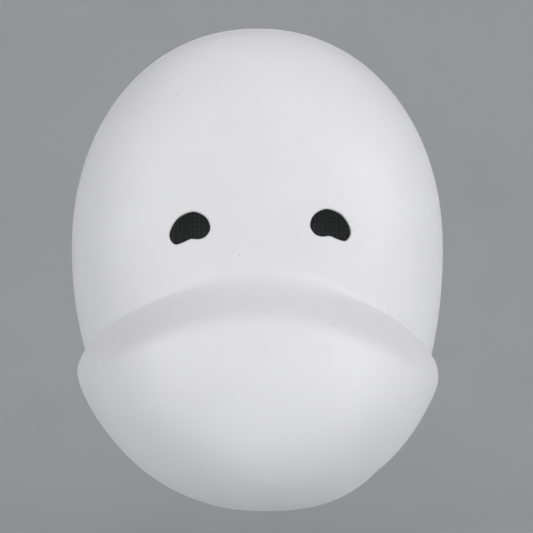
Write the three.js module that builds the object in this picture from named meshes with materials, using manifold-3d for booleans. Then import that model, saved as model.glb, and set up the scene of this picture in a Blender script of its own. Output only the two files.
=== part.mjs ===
// A blank white beaked mask: a face shell and a broad snub beak shell, dark mesh behind the
// eye holes, four cushions and a swinging elastic head strap.
// Millimetres. Upright as worn: +Z up, the mask faces -Y, +X is on the viewer's right.
// The origin is on the plane of the rear rim, midway between the eyes and at their height.
import * as THREE from "three";
import { mergeVertices } from "three/addons/utils/BufferGeometryUtils.js";
import Module from "manifold-3d";

const wasm = await Module();
wasm.setup();

// Face shell
const WALL = 2.8;
const HALF_WIDTH = 94;
const TOP = 102.5;
const BOTTOM = -142;
const WIDEST_Z = -9;
const DEPTH = 72;
const PROFILE_POWER = 2.6;
const CROWN_POWER = 2.1;
const CHIN_POWER = 2.38;
const CHIN_SKEW = 5;
const FACE_SIDES = 64;
const FACE_RINGS = 13;

// Beak shell: a lens-shaped outline with rounded corners, under a rounded dome
const BEAK_HALF_WIDTH = 89.5;
const BEAK_Z = -67;
const BEAK_RISE = 45;
const BEAK_DROP = 67;
const BEAK_ROLL = 1.2;
const BEAK_REACH = 36;
const BEAK_SHOULDER = 53;
const BEAK_DOME_POWER = 2.5;
const BEAK_EDGE_POWER = 1.35;
const BEAK_BACK = -13;
const BEAK_RIDGE_EASE = 20;
const BEAK_CORNER_EASE = 12;
const FLANGE_WIDTH = 6;
const FLANGE_THICKNESS = 2;
const BEAK_SIDES = 56;
const BEAK_RINGS = 9;

// Eyes
const EYE_X = 31.7;
const EYE_TILT = 1;
const COLLAR_BACK = -58.5;
const MESH_THICKNESS = 0.8;
const RETAINER_THICKNESS = 2;
const EAR_OFFSET = 23;
const EYE_SCREW_R = 1.25;

// Strap and its pivots
const PIVOT_Y = -14;
const PIVOT_Z = -10;
const PIVOT_BOSS_X = 81.8;
const TAB_OUTER_X = 81.5;
const TAB_THICKNESS = 2;
const TAB_WIDTH = 26;
const STRAP_WIDTH = 20;
const STRAP_THICKNESS = 1;
const STRAP_BOTTOM_Z = -106;
const LOOP_RADIUS = 2.25;
const BAR_SIZE = 2;
const BAR_Z = -33.5;
const LEG_LENGTH = 42;

const GAP = 0.3;
const PAD_GAP = 0.8;
const SMOOTH = 24;

const group = new THREE.Group();

// ---- solids -----------------------------------------------------------------------------

// A geometry as a closed solid, turned the right way out if its faces point inwards.
function solid(geometry) {
  const plain = new THREE.BufferGeometry();
  const flat = geometry.index ? geometry.toNonIndexed() : geometry;
  plain.setAttribute("position", flat.getAttribute("position"));
  const merged = mergeVertices(plain, 1e-4);
  const triVerts = new Uint32Array(merged.index.array);
  const vertProperties = merged.attributes.position.array;
  const made = new wasm.Manifold(new wasm.Mesh({ numProp: 3, vertProperties, triVerts }));
  if (made.volume() >= 0) return made;
  for (let i = 0; i < triVerts.length; i += 3) {
    [triVerts[i + 1], triVerts[i + 2]] = [triVerts[i + 2], triVerts[i + 1]];
  }
  return new wasm.Manifold(new wasm.Mesh({ numProp: 3, vertProperties, triVerts }));
}

// The main body of a cut solid, without the slivers a cut leaves beside it.
function largest(manifold) {
  return manifold.decompose().sort((a, b) => b.volume() - a.volume())[0];
}

function geometryOf(manifold) {
  const mesh = manifold.getMesh();
  const positions = new Float32Array(mesh.numVert * 3);
  for (let i = 0; i < mesh.numVert; i++) {
    for (let k = 0; k < 3; k++) positions[3 * i + k] = mesh.vertProperties[mesh.numProp * i + k];
  }
  const geometry = new THREE.BufferGeometry();
  geometry.setAttribute("position", new THREE.BufferAttribute(positions, 3));
  geometry.setIndex(new THREE.BufferAttribute(new Uint32Array(mesh.triVerts), 1));
  return geometry;
}

function add(name, manifold, colour, roughness, metalness = 0) {
  const geometry = geometryOf(manifold);
  geometry.computeVertexNormals();
  const material = new THREE.MeshStandardMaterial({ color: colour, roughness, metalness });
  const mesh = new THREE.Mesh(geometry, material);
  mesh.name = name;
  group.add(mesh);
}

// Rings of points joined into one closed solid: each ring lists [x, y, z] in the same order,
// and the first and last rings are closed by flat or shallow fans.
function ringSolid(rings) {
  const count = rings[0].length;
  const points = rings.flat();
  const faces = [];
  for (let k = 0; k + 1 < rings.length; k++) {
    for (let i = 0; i < count; i++) {
      const j = (i + 1) % count;
      const [a, b] = [k * count + i, k * count + j];
      faces.push(a, b, b + count, a, b + count, a + count);
    }
  }
  for (const [ring, start, turn] of [
    [rings[0], 0, true],
    [rings[rings.length - 1], (rings.length - 1) * count, false],
  ]) {
    const centre = [0, 1, 2].map((k) => ring.reduce((sum, p) => sum + p[k], 0) / count);
    const middle = points.push(centre) - 1;
    for (let i = 0; i < count; i++) {
      const j = (i + 1) % count;
      faces.push(middle, start + (turn ? j : i), start + (turn ? i : j));
    }
  }
  const geometry = new THREE.BufferGeometry();
  geometry.setAttribute("position", new THREE.Float32BufferAttribute(points.flat(), 3));
  geometry.setIndex(faces);
  return solid(geometry);
}

// A shape drawn in X and Z, extruded along Y from front to back.
function plate(shape, front, back) {
  const depth = back - front;
  const geometry = new THREE.ExtrudeGeometry(shape, { depth, bevelEnabled: false, curveSegments: 10 });
  geometry.rotateX(Math.PI / 2);
  geometry.translate(0, back, 0);
  return solid(geometry);
}

function box(low, high) {
  const size = high.map((value, k) => value - low[k]);
  const geometry = new THREE.BoxGeometry(...size);
  geometry.translate(...low.map((value, k) => value + size[k] / 2));
  return solid(geometry);
}

function rodY(radius, x, z, front, back) {
  const geometry = new THREE.CylinderGeometry(radius, radius, back - front, SMOOTH);
  geometry.translate(x, (front + back) / 2, z);
  return solid(geometry);
}

function rodX(radius, y, z, from, to) {
  const geometry = new THREE.CylinderGeometry(radius, radius, Math.abs(to - from), SMOOTH);
  geometry.rotateZ(Math.PI / 2);
  geometry.translate((from + to) / 2, y, z);
  return solid(geometry);
}

function ellipse(x, z, halfX, halfZ) {
  const shape = new THREE.Shape();
  shape.absellipse(x, z, halfX, halfZ, 0, 2 * Math.PI, false, 0);
  return shape;
}

// ---- the face's form --------------------------------------------------------------------

// 1 on the rim's outline, less inside it. The chin is fuller than the crown and a little
// off centre, as the hand-made original is.
function outline(x, z) {
  const down = Math.min(Math.max((WIDEST_Z - z) / (WIDEST_Z - BOTTOM), 0), 1);
  const power = CROWN_POWER + (CHIN_POWER - CROWN_POWER) * down * down;
  const reach = z > WIDEST_Z ? TOP - WIDEST_Z : WIDEST_Z - BOTTOM;
  const across = Math.abs(x - CHIN_SKEW * down * down) / HALF_WIDTH;
  const along = Math.abs(z - WIDEST_Z) / reach;
  return (across ** power + along ** power) ** (1 / power);
}

// How far the rim's outline is from its centre in one direction.
function rimRadius(angle) {
  let [low, high] = [0, 300];
  for (let i = 0; i < 40; i++) {
    const r = (low + high) / 2;
    if (outline(r * Math.cos(angle), WIDEST_Z + r * Math.sin(angle)) < 1) low = r;
    else high = r;
  }
  return low;
}

// The share of the rim's radius left at a depth y, on a wall set in by the inset.
function taper(y, inset) {
  const share = Math.min(Math.abs(Math.min(y, 0)) / (DEPTH - inset), 1);
  return (1 - share ** PROFILE_POWER) ** (1 / PROFILE_POWER);
}

function wallPoint(angle, y, inset) {
  const r = (rimRadius(angle) - inset) * taper(y, inset);
  return [r * Math.cos(angle), y, WIDEST_Z + r * Math.sin(angle)];
}

// The face as a solid, set in by the inset, its open back at the given y.
function faceSolid(inset, back) {
  const rings = [];
  for (let k = 1; k <= FACE_RINGS; k++) {
    const turn = (Math.PI / 2) * (k / FACE_RINGS);
    const y = k === FACE_RINGS ? 0 : -(DEPTH - inset) * Math.cos(turn) ** (2 / PROFILE_POWER);
    rings.push(ring((angle) => wallPoint(angle, y, inset)));
  }
  if (back > 0) rings.push(ring((angle) => [...wallPoint(angle, 0, inset).with(1, back)]));
  rings.unshift(ring((angle) => scaled(wallPoint(angle, rings[0][0][1], inset), 0.5, inset)));
  return ringSolid(rings);
}

function ring(pointAt) {
  return Array.from({ length: FACE_SIDES }, (_, i) => pointAt((2 * Math.PI * i) / FACE_SIDES));
}

// A point of the first ring drawn in towards the middle, and out to the full depth there.
function scaled([x, y, z], share, inset) {
  const rim = Math.hypot(x, z - WIDEST_Z) * share;
  const angle = Math.atan2(z - WIDEST_Z, x);
  const s = rim / (rimRadius(angle) - inset);
  const depth = (DEPTH - inset) * (1 - s ** PROFILE_POWER) ** (1 / PROFILE_POWER);
  return [x * share, -depth, WIDEST_Z + (z - WIDEST_Z) * share];
}

// ---- the beak's form --------------------------------------------------------------------

const UPPER_RADIUS = (BEAK_HALF_WIDTH ** 2 + BEAK_RISE ** 2) / (2 * BEAK_RISE);
const LOWER_RADIUS = (BEAK_HALF_WIDTH ** 2 + BEAK_DROP ** 2) / (2 * BEAK_DROP);
const UPPER_CENTRE = BEAK_Z + BEAK_RISE - UPPER_RADIUS;
const LOWER_CENTRE = BEAK_Z - BEAK_DROP + LOWER_RADIUS;

// How far a point is inside the beak's outline, below 0 outside it. The two arcs are eased
// into each other, which rounds the corners and leaves no ridge between them.
function insideBeak(x, z, grow) {
  const upper = UPPER_RADIUS - Math.hypot(x, z - UPPER_CENTRE);
  const lower = LOWER_RADIUS - Math.hypot(x, z - LOWER_CENTRE);
  const middle = Math.max(1 - (x / BEAK_HALF_WIDTH) ** 2, 0);
  const ease = BEAK_CORNER_EASE + BEAK_RIDGE_EASE * middle;
  const near = Math.max(ease - Math.abs(upper - lower), 0) / ease;
  return Math.min(upper, lower) - (near ** 3 * ease) / 6 + grow;
}

// The depth of the beak's edge, which follows the back of the face's wall.
function beakEdgeDepth(x, z) {
  const angle = Math.atan2(z - WIDEST_Z, x);
  const s = Math.min(Math.hypot(x, z - WIDEST_Z) / rimRadius(angle), 1) * 0.92;
  return 0.95 * DEPTH * (1 - s ** PROFILE_POWER) ** (1 / PROFILE_POWER);
}

function beakDepth(x, z, grow) {
  const share = Math.min(Math.max(insideBeak(x, z, grow), 0) / (BEAK_SHOULDER + grow), 1);
  const rise = (1 - (1 - share) ** BEAK_DOME_POWER) ** (1 / BEAK_EDGE_POWER);
  return beakEdgeDepth(x, z) + (BEAK_REACH + grow) * rise;
}

// The beak's outline, grown by a margin, as directions from a point in its middle.
const BEAK_MIDDLE_Z = BEAK_Z - 9;

function beakOutline(grow) {
  return Array.from({ length: BEAK_SIDES }, (_, i) => {
    const angle = (2 * Math.PI * i) / BEAK_SIDES;
    let [low, high] = [0, 200];
    for (let k = 0; k < 40; k++) {
      const r = (low + high) / 2;
      if (insideBeak(r * Math.cos(angle), BEAK_MIDDLE_Z + r * Math.sin(angle), grow) > 0) low = r;
      else high = r;
    }
    return [low * Math.cos(angle), BEAK_MIDDLE_Z + low * Math.sin(angle)];
  });
}

// The small roll of the beak about its middle, seen from the front.
function rolled([x, y, z]) {
  const a = THREE.MathUtils.degToRad(-BEAK_ROLL);
  const down = z - BEAK_Z;
  return [x * Math.cos(a) - down * Math.sin(a), y, BEAK_Z + x * Math.sin(a) + down * Math.cos(a)];
}

function beakSolid(grow, back) {
  const edge = beakOutline(grow);
  const rings = [];
  for (let k = 1; k <= BEAK_RINGS; k++) {
    const share = 1 - (1 - k / BEAK_RINGS) ** 1.5;
    const at = edge.map(([x, z]) => [x * share, BEAK_MIDDLE_Z + (z - BEAK_MIDDLE_Z) * share]);
    rings.push(at.map(([x, z]) => rolled([x, -beakDepth(x, z, grow), z])));
  }
  rings.push(edge.map(([x, z]) => rolled([x, back, z])));
  return ringSolid(rings);
}

function beakPrism(grow, front, back) {
  const edge = beakOutline(grow);
  return ringSolid([front, back].map((y) => edge.map(([x, z]) => rolled([x, y, z]))));
}

// ---- shells -----------------------------------------------------------------------------

const WHITE = "#e2e1e3";
const BLACK = "#17171a";
const STEEL = "#a9acb0";

// The eye hole: a bean, its round end towards the nose and its tip drooping outwards. The
// points are distances outwards and upwards from the hole's middle.
const BEAN = [
  [-9.2, 0.2], [-7.1, 5], [-1.5, 7.4], [4.9, 5], [8.5, 0.2], [9.3, -4.1],
  [6.9, -7.1], [3.2, -6.3], [-0.4, -4.8], [-4, -5], [-7.3, -3.6],
];

function bean(side) {
  const tilt = THREE.MathUtils.degToRad(EYE_TILT);
  const at = ([e, u]) => new THREE.Vector2(
    side * EYE_X + (side * e * Math.cos(tilt) - u * Math.sin(tilt)),
    side * e * Math.sin(tilt) + u * Math.cos(tilt) + 0.7 * side,
  );
  const curve = new THREE.SplineCurve([...BEAN, BEAN[0]].map(at));
  return new THREE.Shape(curve.getPoints(33).slice(0, -1));
}

const outer = faceSolid(0, 0);
const hollow = faceSolid(WALL, 8);
let face = outer.subtract(hollow).subtract(beakSolid(GAP, BEAK_BACK + GAP));

for (const side of [-1, 1]) {
  const x = side * EYE_X;
  const collar = plate(ellipse(x, 0, 20.5, 16), -75, COLLAR_BACK)
    .subtract(plate(ellipse(x, 0, 15, 12), -76, COLLAR_BACK + 1));
  let posts = collar;
  for (const ear of [-1, 1]) {
    posts = posts.add(rodY(3.5, x + ear * EAR_OFFSET, 0, -75, COLLAR_BACK + MESH_THICKNESS + GAP));
  }
  const pivotBoss = rodX(4.5, PIVOT_Y, PIVOT_Z, side * PIVOT_BOSS_X, side * 93);
  face = face.add(posts.intersect(faceSolid(WALL - 0.5, 8))).add(pivotBoss.intersect(outer));
  for (const ear of [-1, 1]) {
    face = face.subtract(rodY(EYE_SCREW_R + 0.3, x + ear * EAR_OFFSET, 0, -61, COLLAR_BACK + 3));
  }
  face = face.subtract(rodX(1.5 + GAP, PIVOT_Y, PIVOT_Z, side * (PIVOT_BOSS_X - 1), side * 88.5));
  face = face.subtract(plate(bean(side), -80, -62));
}
add("face_shell", face, WHITE, 0.5);

const flangeFront = faceSolid(WALL + GAP, 8);
const flangeBack = faceSolid(WALL + GAP + FLANGE_THICKNESS, 9);
const beakHollow = beakSolid(-WALL, BEAK_BACK - WALL);
const flange = flangeFront.subtract(flangeBack)
  .intersect(beakPrism(FLANGE_WIDTH, -90, BEAK_BACK - 8))
  .subtract(beakPrism(-4, -91, BEAK_BACK));
const dome = beakSolid(0, BEAK_BACK).subtract(hollow);
const beak = largest(dome.add(flange).subtract(beakHollow));
add("beak_shell", beak, WHITE, 0.5);

// ---- eye screens ------------------------------------------------------------------------

for (const side of [-1, 1]) {
  const name = side < 0 ? "left" : "right";
  const x = side * EYE_X;
  const meshFront = COLLAR_BACK + GAP;
  const meshBack = meshFront + MESH_THICKNESS;
  add(name + "_eye_mesh", plate(ellipse(x, 0, 18.6, 15.1), meshFront, meshBack), BLACK, 0.8);

  const retainerFront = meshBack + GAP;
  const retainerBack = retainerFront + RETAINER_THICKNESS;
  let retainer = plate(ellipse(x, 0, 20.5, 16), retainerFront, retainerBack);
  for (const ear of [-1, 1]) {
    retainer = retainer.add(rodY(4, x + ear * EAR_OFFSET, 0, retainerFront, retainerBack));
  }
  retainer = retainer.subtract(plate(ellipse(x, 0, 15.5, 12), retainerFront - 1, retainerBack + 1));
  for (const ear of [-1, 1]) {
    const at = x + ear * EAR_OFFSET;
    retainer = retainer.subtract(rodY(EYE_SCREW_R + GAP, at, 0, retainerFront - 1, retainerBack + 1));
  }
  add(name + "_eye_retainer", retainer, BLACK, 0.6);

  for (const ear of [-1, 1]) {
    const at = x + ear * EAR_OFFSET;
    const headFront = retainerBack + GAP;
    const head = rodY(2.7, at, 0, headFront, headFront + 1.8)
      .subtract(box([at - 2, headFront + 1, -0.35], [at + 2, headFront + 3, 0.35]))
      .subtract(box([at - 0.35, headFront + 1, -2], [at + 0.35, headFront + 3, 2]));
    const screw = head.add(rodY(EYE_SCREW_R, at, 0, -60.7, headFront + 0.2));
    const place = ear * side < 0 ? "inner" : "outer";
    add(name + "_eye_screw_" + place, screw, STEEL, 0.35, 1);
  }
}

// ---- cushions ---------------------------------------------------------------------------

// A cushion on the inside of the wall, between two directions and two depths.
function cushion(name, from, to, front, back, thickness) {
  const steps = 12;
  const rows = 4;
  const rings = [];
  for (let i = 0; i <= steps; i++) {
    const angle = THREE.MathUtils.degToRad(from + ((to - from) * i) / steps);
    const end = Math.min(i, steps - i);
    const full = thickness * (end === 0 ? 0.55 : end === 1 ? 0.9 : 1);
    const section = [];
    for (let k = 0; k <= rows; k++) {
      section.push(wallPoint(angle, front + ((back - front) * k) / rows, WALL + PAD_GAP));
    }
    for (let k = rows; k >= 0; k--) {
      const crown = Math.sin((Math.PI * (k + 0.7)) / (rows + 1.4)) ** 0.5;
      const y = front + ((back - front) * k) / rows;
      section.push(wallPoint(angle, y, WALL + PAD_GAP + full * crown));
    }
    rings.push(section);
  }
  add(name, ringSolid(rings), "#2a2a2d", 0.95);
}

cushion("forehead_pad", 62, 118, -32, -12, 10);
cushion("chin_pad", 258, 286, -24, -6, 8);
cushion("right_temple_pad", -12, 14, -46, -31, 8);
cushion("left_temple_pad", 166, 192, -46, -31, 8);

// ---- strap ------------------------------------------------------------------------------

for (const side of [-1, 1]) {
  const name = side < 0 ? "left" : "right";
  const outerX = side * TAB_OUTER_X;
  const innerX = side * (TAB_OUTER_X - TAB_THICKNESS);
  const half = TAB_WIDTH / 2;
  const low = BAR_Z - BAR_SIZE / 2;
  const [fromX, toX] = [Math.min(outerX, innerX), Math.max(outerX, innerX)];
  const tab = box([fromX, PIVOT_Y - half, low], [toX, PIVOT_Y + half, PIVOT_Z])
    .add(rodX(half, PIVOT_Y, PIVOT_Z, fromX, toX))
    .subtract(rodX(1.58, PIVOT_Y, PIVOT_Z, fromX - 1, toX + 1))
    .subtract(box([fromX - 1, PIVOT_Y - 11, BAR_Z + BAR_SIZE / 2], [toX + 1, PIVOT_Y + 11, BAR_Z + 4.2]));
  add(name + "_strap_tab", tab, BLACK, 0.5);

  const washerX = side * (TAB_OUTER_X - TAB_THICKNESS - GAP);
  const washer = rodX(4, PIVOT_Y, PIVOT_Z, washerX, washerX - side * 0.8)
    .subtract(rodX(1.75, PIVOT_Y, PIVOT_Z, washerX + side, washerX - side * 2));
  add(name + "_pivot_washer", washer, STEEL, 0.3, 1);

  const headX = washerX - side * (0.8 + GAP);
  const slotX = headX - side * 1.4;
  const slotEnd = headX - side * 4;
  const slot = [Math.min(slotX, slotEnd), Math.max(slotX, slotEnd)];
  const screw = rodX(3.4, PIVOT_Y, PIVOT_Z, headX, headX - side * 2.4)
    .subtract(box([slot[0], PIVOT_Y - 2.4, PIVOT_Z - 0.4], [slot[1], PIVOT_Y + 2.4, PIVOT_Z + 0.4]))
    .subtract(box([slot[0], PIVOT_Y - 0.4, PIVOT_Z - 2.4], [slot[1], PIVOT_Y + 0.4, PIVOT_Z + 2.4]))
    .add(rodX(1.5, PIVOT_Y, PIVOT_Z, headX - side * 0.2, side * 88));
  add(name + "_pivot_screw", screw, STEEL, 0.3, 1);
}

// The elastic is one long ribbon. Seen along Y it starts at its left end, goes round the left
// tab's bar, down, across below the chin, up, and round the right tab's bar to its right end.
const BAR_X = TAB_OUTER_X - TAB_THICKNESS / 2;
const LEG = new THREE.Vector2(-0.32, -1).normalize();
const SLIDER_START = 16;
const SLIDER_LENGTH = 12;

function rightHalf(tail, sewn) {
  const acrossLeg = new THREE.Vector2(-LEG.y, LEG.x);
  const at = (down, across) => new THREE.Vector2(BAR_X, BAR_Z)
    .addScaledVector(LEG, down).addScaledVector(acrossLeg, across);
  const legEnd = at(LEG_LENGTH, LOOP_RADIUS);
  const bend = legEnd.clone().addScaledVector(LEG, (STRAP_BOTTOM_Z - legEnd.y) / LEG.y);
  const sweep = new THREE.QuadraticBezierCurve(legEnd, bend, new THREE.Vector2(0, STRAP_BOTTOM_Z));
  const points = sweep.getPoints(14).reverse().slice(0, -1);
  for (let i = 0; i <= 10; i++) points.push(at(LEG_LENGTH * (1 - i / 10), LOOP_RADIUS));
  for (let i = 1; i < 10; i++) {
    const a = (Math.PI * i) / 10;
    points.push(at(-LOOP_RADIUS * Math.sin(a), LOOP_RADIUS * Math.cos(a)));
  }
  const folded = sewn ? LOOP_RADIUS - STRAP_THICKNESS - GAP : -LOOP_RADIUS;
  points.push(at(0, -LOOP_RADIUS), at(sewn ? 8 : 4, folded), at(tail, folded));
  return points;
}

function ribbon(path, thickness) {
  const [near, far] = [[], []];
  path.forEach((point, i) => {
    const before = path[Math.max(i - 1, 0)];
    const after = path[Math.min(i + 1, path.length - 1)];
    const along = after.clone().sub(before).normalize();
    const side = new THREE.Vector2(-along.y, along.x).multiplyScalar(thickness / 2);
    near.push(point.clone().add(side));
    far.unshift(point.clone().sub(side));
  });
  return new THREE.Shape([...near, ...far]);
}

const mirrored = rightHalf(22, true).map((p) => new THREE.Vector2(-p.x, p.y)).reverse();
const path = [...mirrored, ...rightHalf(38, false).slice(1)];
const half = STRAP_WIDTH / 2;
add("elastic_strap", plate(ribbon(path, STRAP_THICKNESS), PIVOT_Y - half, PIVOT_Y + half), "#1d1d20", 0.9);

// The slide: a frame round both plies, with a bar between them.
function sliderPart(fromAcross, toAcross, fromDown, toDown, halfWidth) {
  const geometry = new THREE.BoxGeometry(toAcross - fromAcross, 2 * halfWidth, toDown - fromDown);
  geometry.translate((fromAcross + toAcross) / 2, 0, -(fromDown + toDown) / 2);
  geometry.rotateY(Math.atan2(-LEG.x, -LEG.y));
  geometry.translate(BAR_X, PIVOT_Y, BAR_Z);
  return solid(geometry);
}

const inside = LOOP_RADIUS + STRAP_THICKNESS / 2 + 0.4;
const sliderEnd = SLIDER_START + SLIDER_LENGTH;
const slider = sliderPart(-inside - 1.5, inside + 1.5, SLIDER_START, sliderEnd, half + 2.4)
  .subtract(sliderPart(-inside, inside, SLIDER_START - 1, sliderEnd + 1, half + 0.5))
  .add(sliderPart(-1.35, 1.35, SLIDER_START + 4, sliderEnd - 4, half + 1.5));
add("strap_slider", slider, BLACK, 0.5);

export default group;
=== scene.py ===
# A blank white beaked mask with dark eye screens, soft cushions and an elastic head strap.
# Metres in the scene; the forms below are worked out in millimetres, in the CAD model's frame:
# +Z up as worn, the mask faces -Y, and the origin is on the rear rim's plane between the eyes.
import bpy
import bmesh
import math
import numpy as np
from mathutils import Matrix, Vector
from mathutils.bvhtree import BVHTree
from mathutils.geometry import delaunay_2d_cdt
from mathutils.kdtree import KDTree


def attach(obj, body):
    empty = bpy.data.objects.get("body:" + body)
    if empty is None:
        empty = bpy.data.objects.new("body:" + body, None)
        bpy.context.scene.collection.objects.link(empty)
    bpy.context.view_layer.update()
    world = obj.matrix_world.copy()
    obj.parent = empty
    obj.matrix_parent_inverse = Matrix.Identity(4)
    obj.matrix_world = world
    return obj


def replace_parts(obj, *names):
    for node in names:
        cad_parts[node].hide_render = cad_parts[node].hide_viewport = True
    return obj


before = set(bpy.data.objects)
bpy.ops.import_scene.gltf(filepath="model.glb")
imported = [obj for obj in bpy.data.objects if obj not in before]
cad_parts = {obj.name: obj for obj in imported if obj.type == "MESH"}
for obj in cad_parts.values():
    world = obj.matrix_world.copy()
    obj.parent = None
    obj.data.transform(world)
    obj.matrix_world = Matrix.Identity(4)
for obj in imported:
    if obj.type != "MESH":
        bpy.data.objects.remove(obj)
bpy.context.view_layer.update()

MM = 0.001

# The shell's dimensions, as the CAD model has them.
WALL = 2.8
HALF_WIDTH = 94.0
TOP = 102.5
BOTTOM = -142.0
WIDEST_Z = -9.0
DEPTH = 72.0
PROFILE = 2.6
CROWN_POWER = 2.1
CHIN_POWER = 2.38
CHIN_SKEW = 5.0
BEAK_HALF_WIDTH = 89.5
BEAK_Z = -67.0
BEAK_RISE = 45.0
BEAK_DROP = 67.0
BEAK_ROLL = math.radians(1.2)
BEAK_REACH = 36.0
BEAK_CENTRE_DISTANCE = 53.0
BEAK_DOME_POWER = 2.5
BEAK_EDGE_POWER = 1.35
BEAK_BACK = 13.0
BEAK_RIDGE_EASE = 20.0
BEAK_CORNER_EASE = 12.0
EYE_X = 31.7
EYE_TILT = math.radians(1.0)

# The shoulder along the beak's upper front. The CAD model's beak is one round dome without it.
BEAK_SLOPE = 1.75
BEAK_CORNER_STEEPNESS = 0.3
BEAK_CROWN = 14.0
BEAK_SHOULDER_EASE = 9.0


# ---- small helpers ------------------------------------------------------------------------

def colour(code, alpha=1.0):
    """An sRGB hex colour as Blender's linear one."""
    parts = [int(code[i:i + 2], 16) / 255 for i in (1, 3, 5)]
    return [c / 12.92 if c <= 0.04045 else ((c + 0.055) / 1.055) ** 2.4 for c in parts] + [alpha]


def add(tree, kind, inputs=(), **settings):
    """One node: its settings, and its inputs as values or as sockets to link from."""
    made = tree.nodes.new(kind)
    for name, value in settings.items():
        setattr(made, name, value)
    for key, value in dict(inputs).items():
        if isinstance(value, bpy.types.NodeSocket):
            tree.links.new(value, made.inputs[key])
        else:
            made.inputs[key].default_value = value
    return made


def put(mesh, name, body, material):
    """Makes a finished mesh a named piece that rides on a body."""
    piece = bpy.data.objects.new(name, mesh)
    bpy.context.collection.objects.link(piece)
    if material is not None:
        mesh.materials.append(material)
    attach(piece, body)
    return piece


def mesh_of(points, faces, name, sharp=45):
    """A closed, outward-facing smooth mesh from points in millimetres."""
    mesh = bpy.data.meshes.new(name)
    mesh.from_pydata((np.asarray(points) * MM).tolist(), [], faces)
    work = bmesh.new()
    work.from_mesh(mesh)
    bmesh.ops.remove_doubles(work, verts=work.verts, dist=0.00001)
    bmesh.ops.dissolve_degenerate(work, edges=work.edges, dist=0.000001)
    bmesh.ops.holes_fill(work, edges=[edge for edge in work.edges if edge.is_boundary], sides=0)
    bmesh.ops.recalc_face_normals(work, faces=work.faces)
    work.to_mesh(mesh)
    work.free()
    mesh.shade_smooth()
    mesh.set_sharp_from_angle(angle=math.radians(sharp))
    return mesh


class Surface:
    """Points and faces gathered patch by patch."""

    def __init__(self):
        self.points = []
        self.faces = []

    def add(self, points, faces):
        start = len(self.points)
        self.points.extend(np.asarray(points, float).tolist())
        self.faces.extend([tuple(int(i) + start for i in face) for face in faces])

    def strip(self, rows, closed=True):
        """Quads between rows of equally many points."""
        rows = np.asarray(rows, float)
        count = rows.shape[1]
        turns = count if closed else count - 1
        faces = []
        for k in range(len(rows) - 1):
            for i in range(turns):
                j = (i + 1) % count
                faces.append((k * count + i, k * count + j, (k + 1) * count + j, (k + 1) * count + i))
        self.add(rows.reshape(-1, 3), faces)


# ---- the shell's form ---------------------------------------------------------------------

def outline(x, z):
    """1 on the rim's outline and less inside it."""
    down = np.clip((WIDEST_Z - z) / (WIDEST_Z - BOTTOM), 0, 1)
    power = CROWN_POWER + (CHIN_POWER - CROWN_POWER) * down ** 2
    reach = np.where(z > WIDEST_Z, TOP - WIDEST_Z, WIDEST_Z - BOTTOM)
    across = np.abs(x - CHIN_SKEW * down * down) / HALF_WIDTH
    along = np.abs(z - WIDEST_Z) / reach
    return (across ** power + along ** power) ** (1 / power)


def rim_table():
    angles = np.linspace(-math.pi, math.pi, 2881)
    low, high = np.zeros_like(angles), np.full_like(angles, 300.0)
    for _ in range(40):
        r = (low + high) / 2
        inside = outline(r * np.cos(angles), WIDEST_Z + r * np.sin(angles)) < 1
        low, high = np.where(inside, r, low), np.where(inside, high, r)
    return angles, low


RIM_ANGLES, RIM_RADII = rim_table()


def rim_radius(angle):
    return np.interp((angle + math.pi) % (2 * math.pi) - math.pi, RIM_ANGLES, RIM_RADII)


def gauge(x, z, inset=0.0):
    return np.hypot(x, z - WIDEST_Z) / (rim_radius(np.arctan2(z - WIDEST_Z, x)) - inset)


def superellipse(share):
    return (1 - np.clip(share, 0, 1) ** PROFILE) ** (1 / PROFILE)


def face_depth(x, z, inset):
    return (DEPTH - inset) * superellipse(gauge(x, z, inset))


UPPER_RADIUS = (BEAK_HALF_WIDTH ** 2 + BEAK_RISE ** 2) / (2 * BEAK_RISE)
LOWER_RADIUS = (BEAK_HALF_WIDTH ** 2 + BEAK_DROP ** 2) / (2 * BEAK_DROP)
UPPER_CENTRE = BEAK_Z + BEAK_RISE - UPPER_RADIUS
LOWER_CENTRE = BEAK_Z - BEAK_DROP + LOWER_RADIUS


def roll(x, z, turn):
    down = z - BEAK_Z
    return x * math.cos(turn) - down * math.sin(turn), BEAK_Z + x * math.sin(turn) + down * math.cos(turn)


def inside_beak(x, z, grow):
    """How far a point is inside the beak's outline, negative outside it."""
    upper = UPPER_RADIUS - np.hypot(x, z - UPPER_CENTRE)
    lower = LOWER_RADIUS - np.hypot(x, z - LOWER_CENTRE)
    ease = BEAK_CORNER_EASE + BEAK_RIDGE_EASE * np.maximum(1 - (x / BEAK_HALF_WIDTH) ** 2, 0)
    near = np.maximum(ease - np.abs(upper - lower), 0) / ease
    return np.minimum(upper, lower) - near ** 3 * ease / 6 + grow


def smooth_step(value, start, end):
    t = np.clip((value - start) / (end - start), 0, 1)
    return t * t * (3 - 2 * t)


def fairing(x, z):
    """1 where the beak's crease is filled smooth, over its middle, and 0 at its corners."""
    return (1 - smooth_step(np.abs(x), 14, 54)) * smooth_step(z, BEAK_Z - 6, BEAK_Z + 12)


def dome_rise(d, grow, upper, steep):
    """How far the beak stands out at a distance in from its outline. Below it is one round dome.
    Where upper is 1 it is a straight slope, eased over a shoulder into a crowned front, and steep
    makes that slope steeper."""
    reach = BEAK_CENTRE_DISTANCE + grow
    share = np.clip(d / reach, 0, 1)
    dome = (BEAK_REACH + grow) * (1 - (1 - share) ** BEAK_DOME_POWER) ** (1 / BEAK_EDGE_POWER)
    slope = BEAK_SLOPE * steep * d
    front = BEAK_REACH + grow - BEAK_CROWN * (1 - share) ** 2
    near = np.maximum(BEAK_SHOULDER_EASE - np.abs(slope - front), 0) / BEAK_SHOULDER_EASE
    shouldered = np.minimum(slope, front) - near ** 3 * BEAK_SHOULDER_EASE / 6
    return dome + (shouldered - dome) * upper


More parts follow.
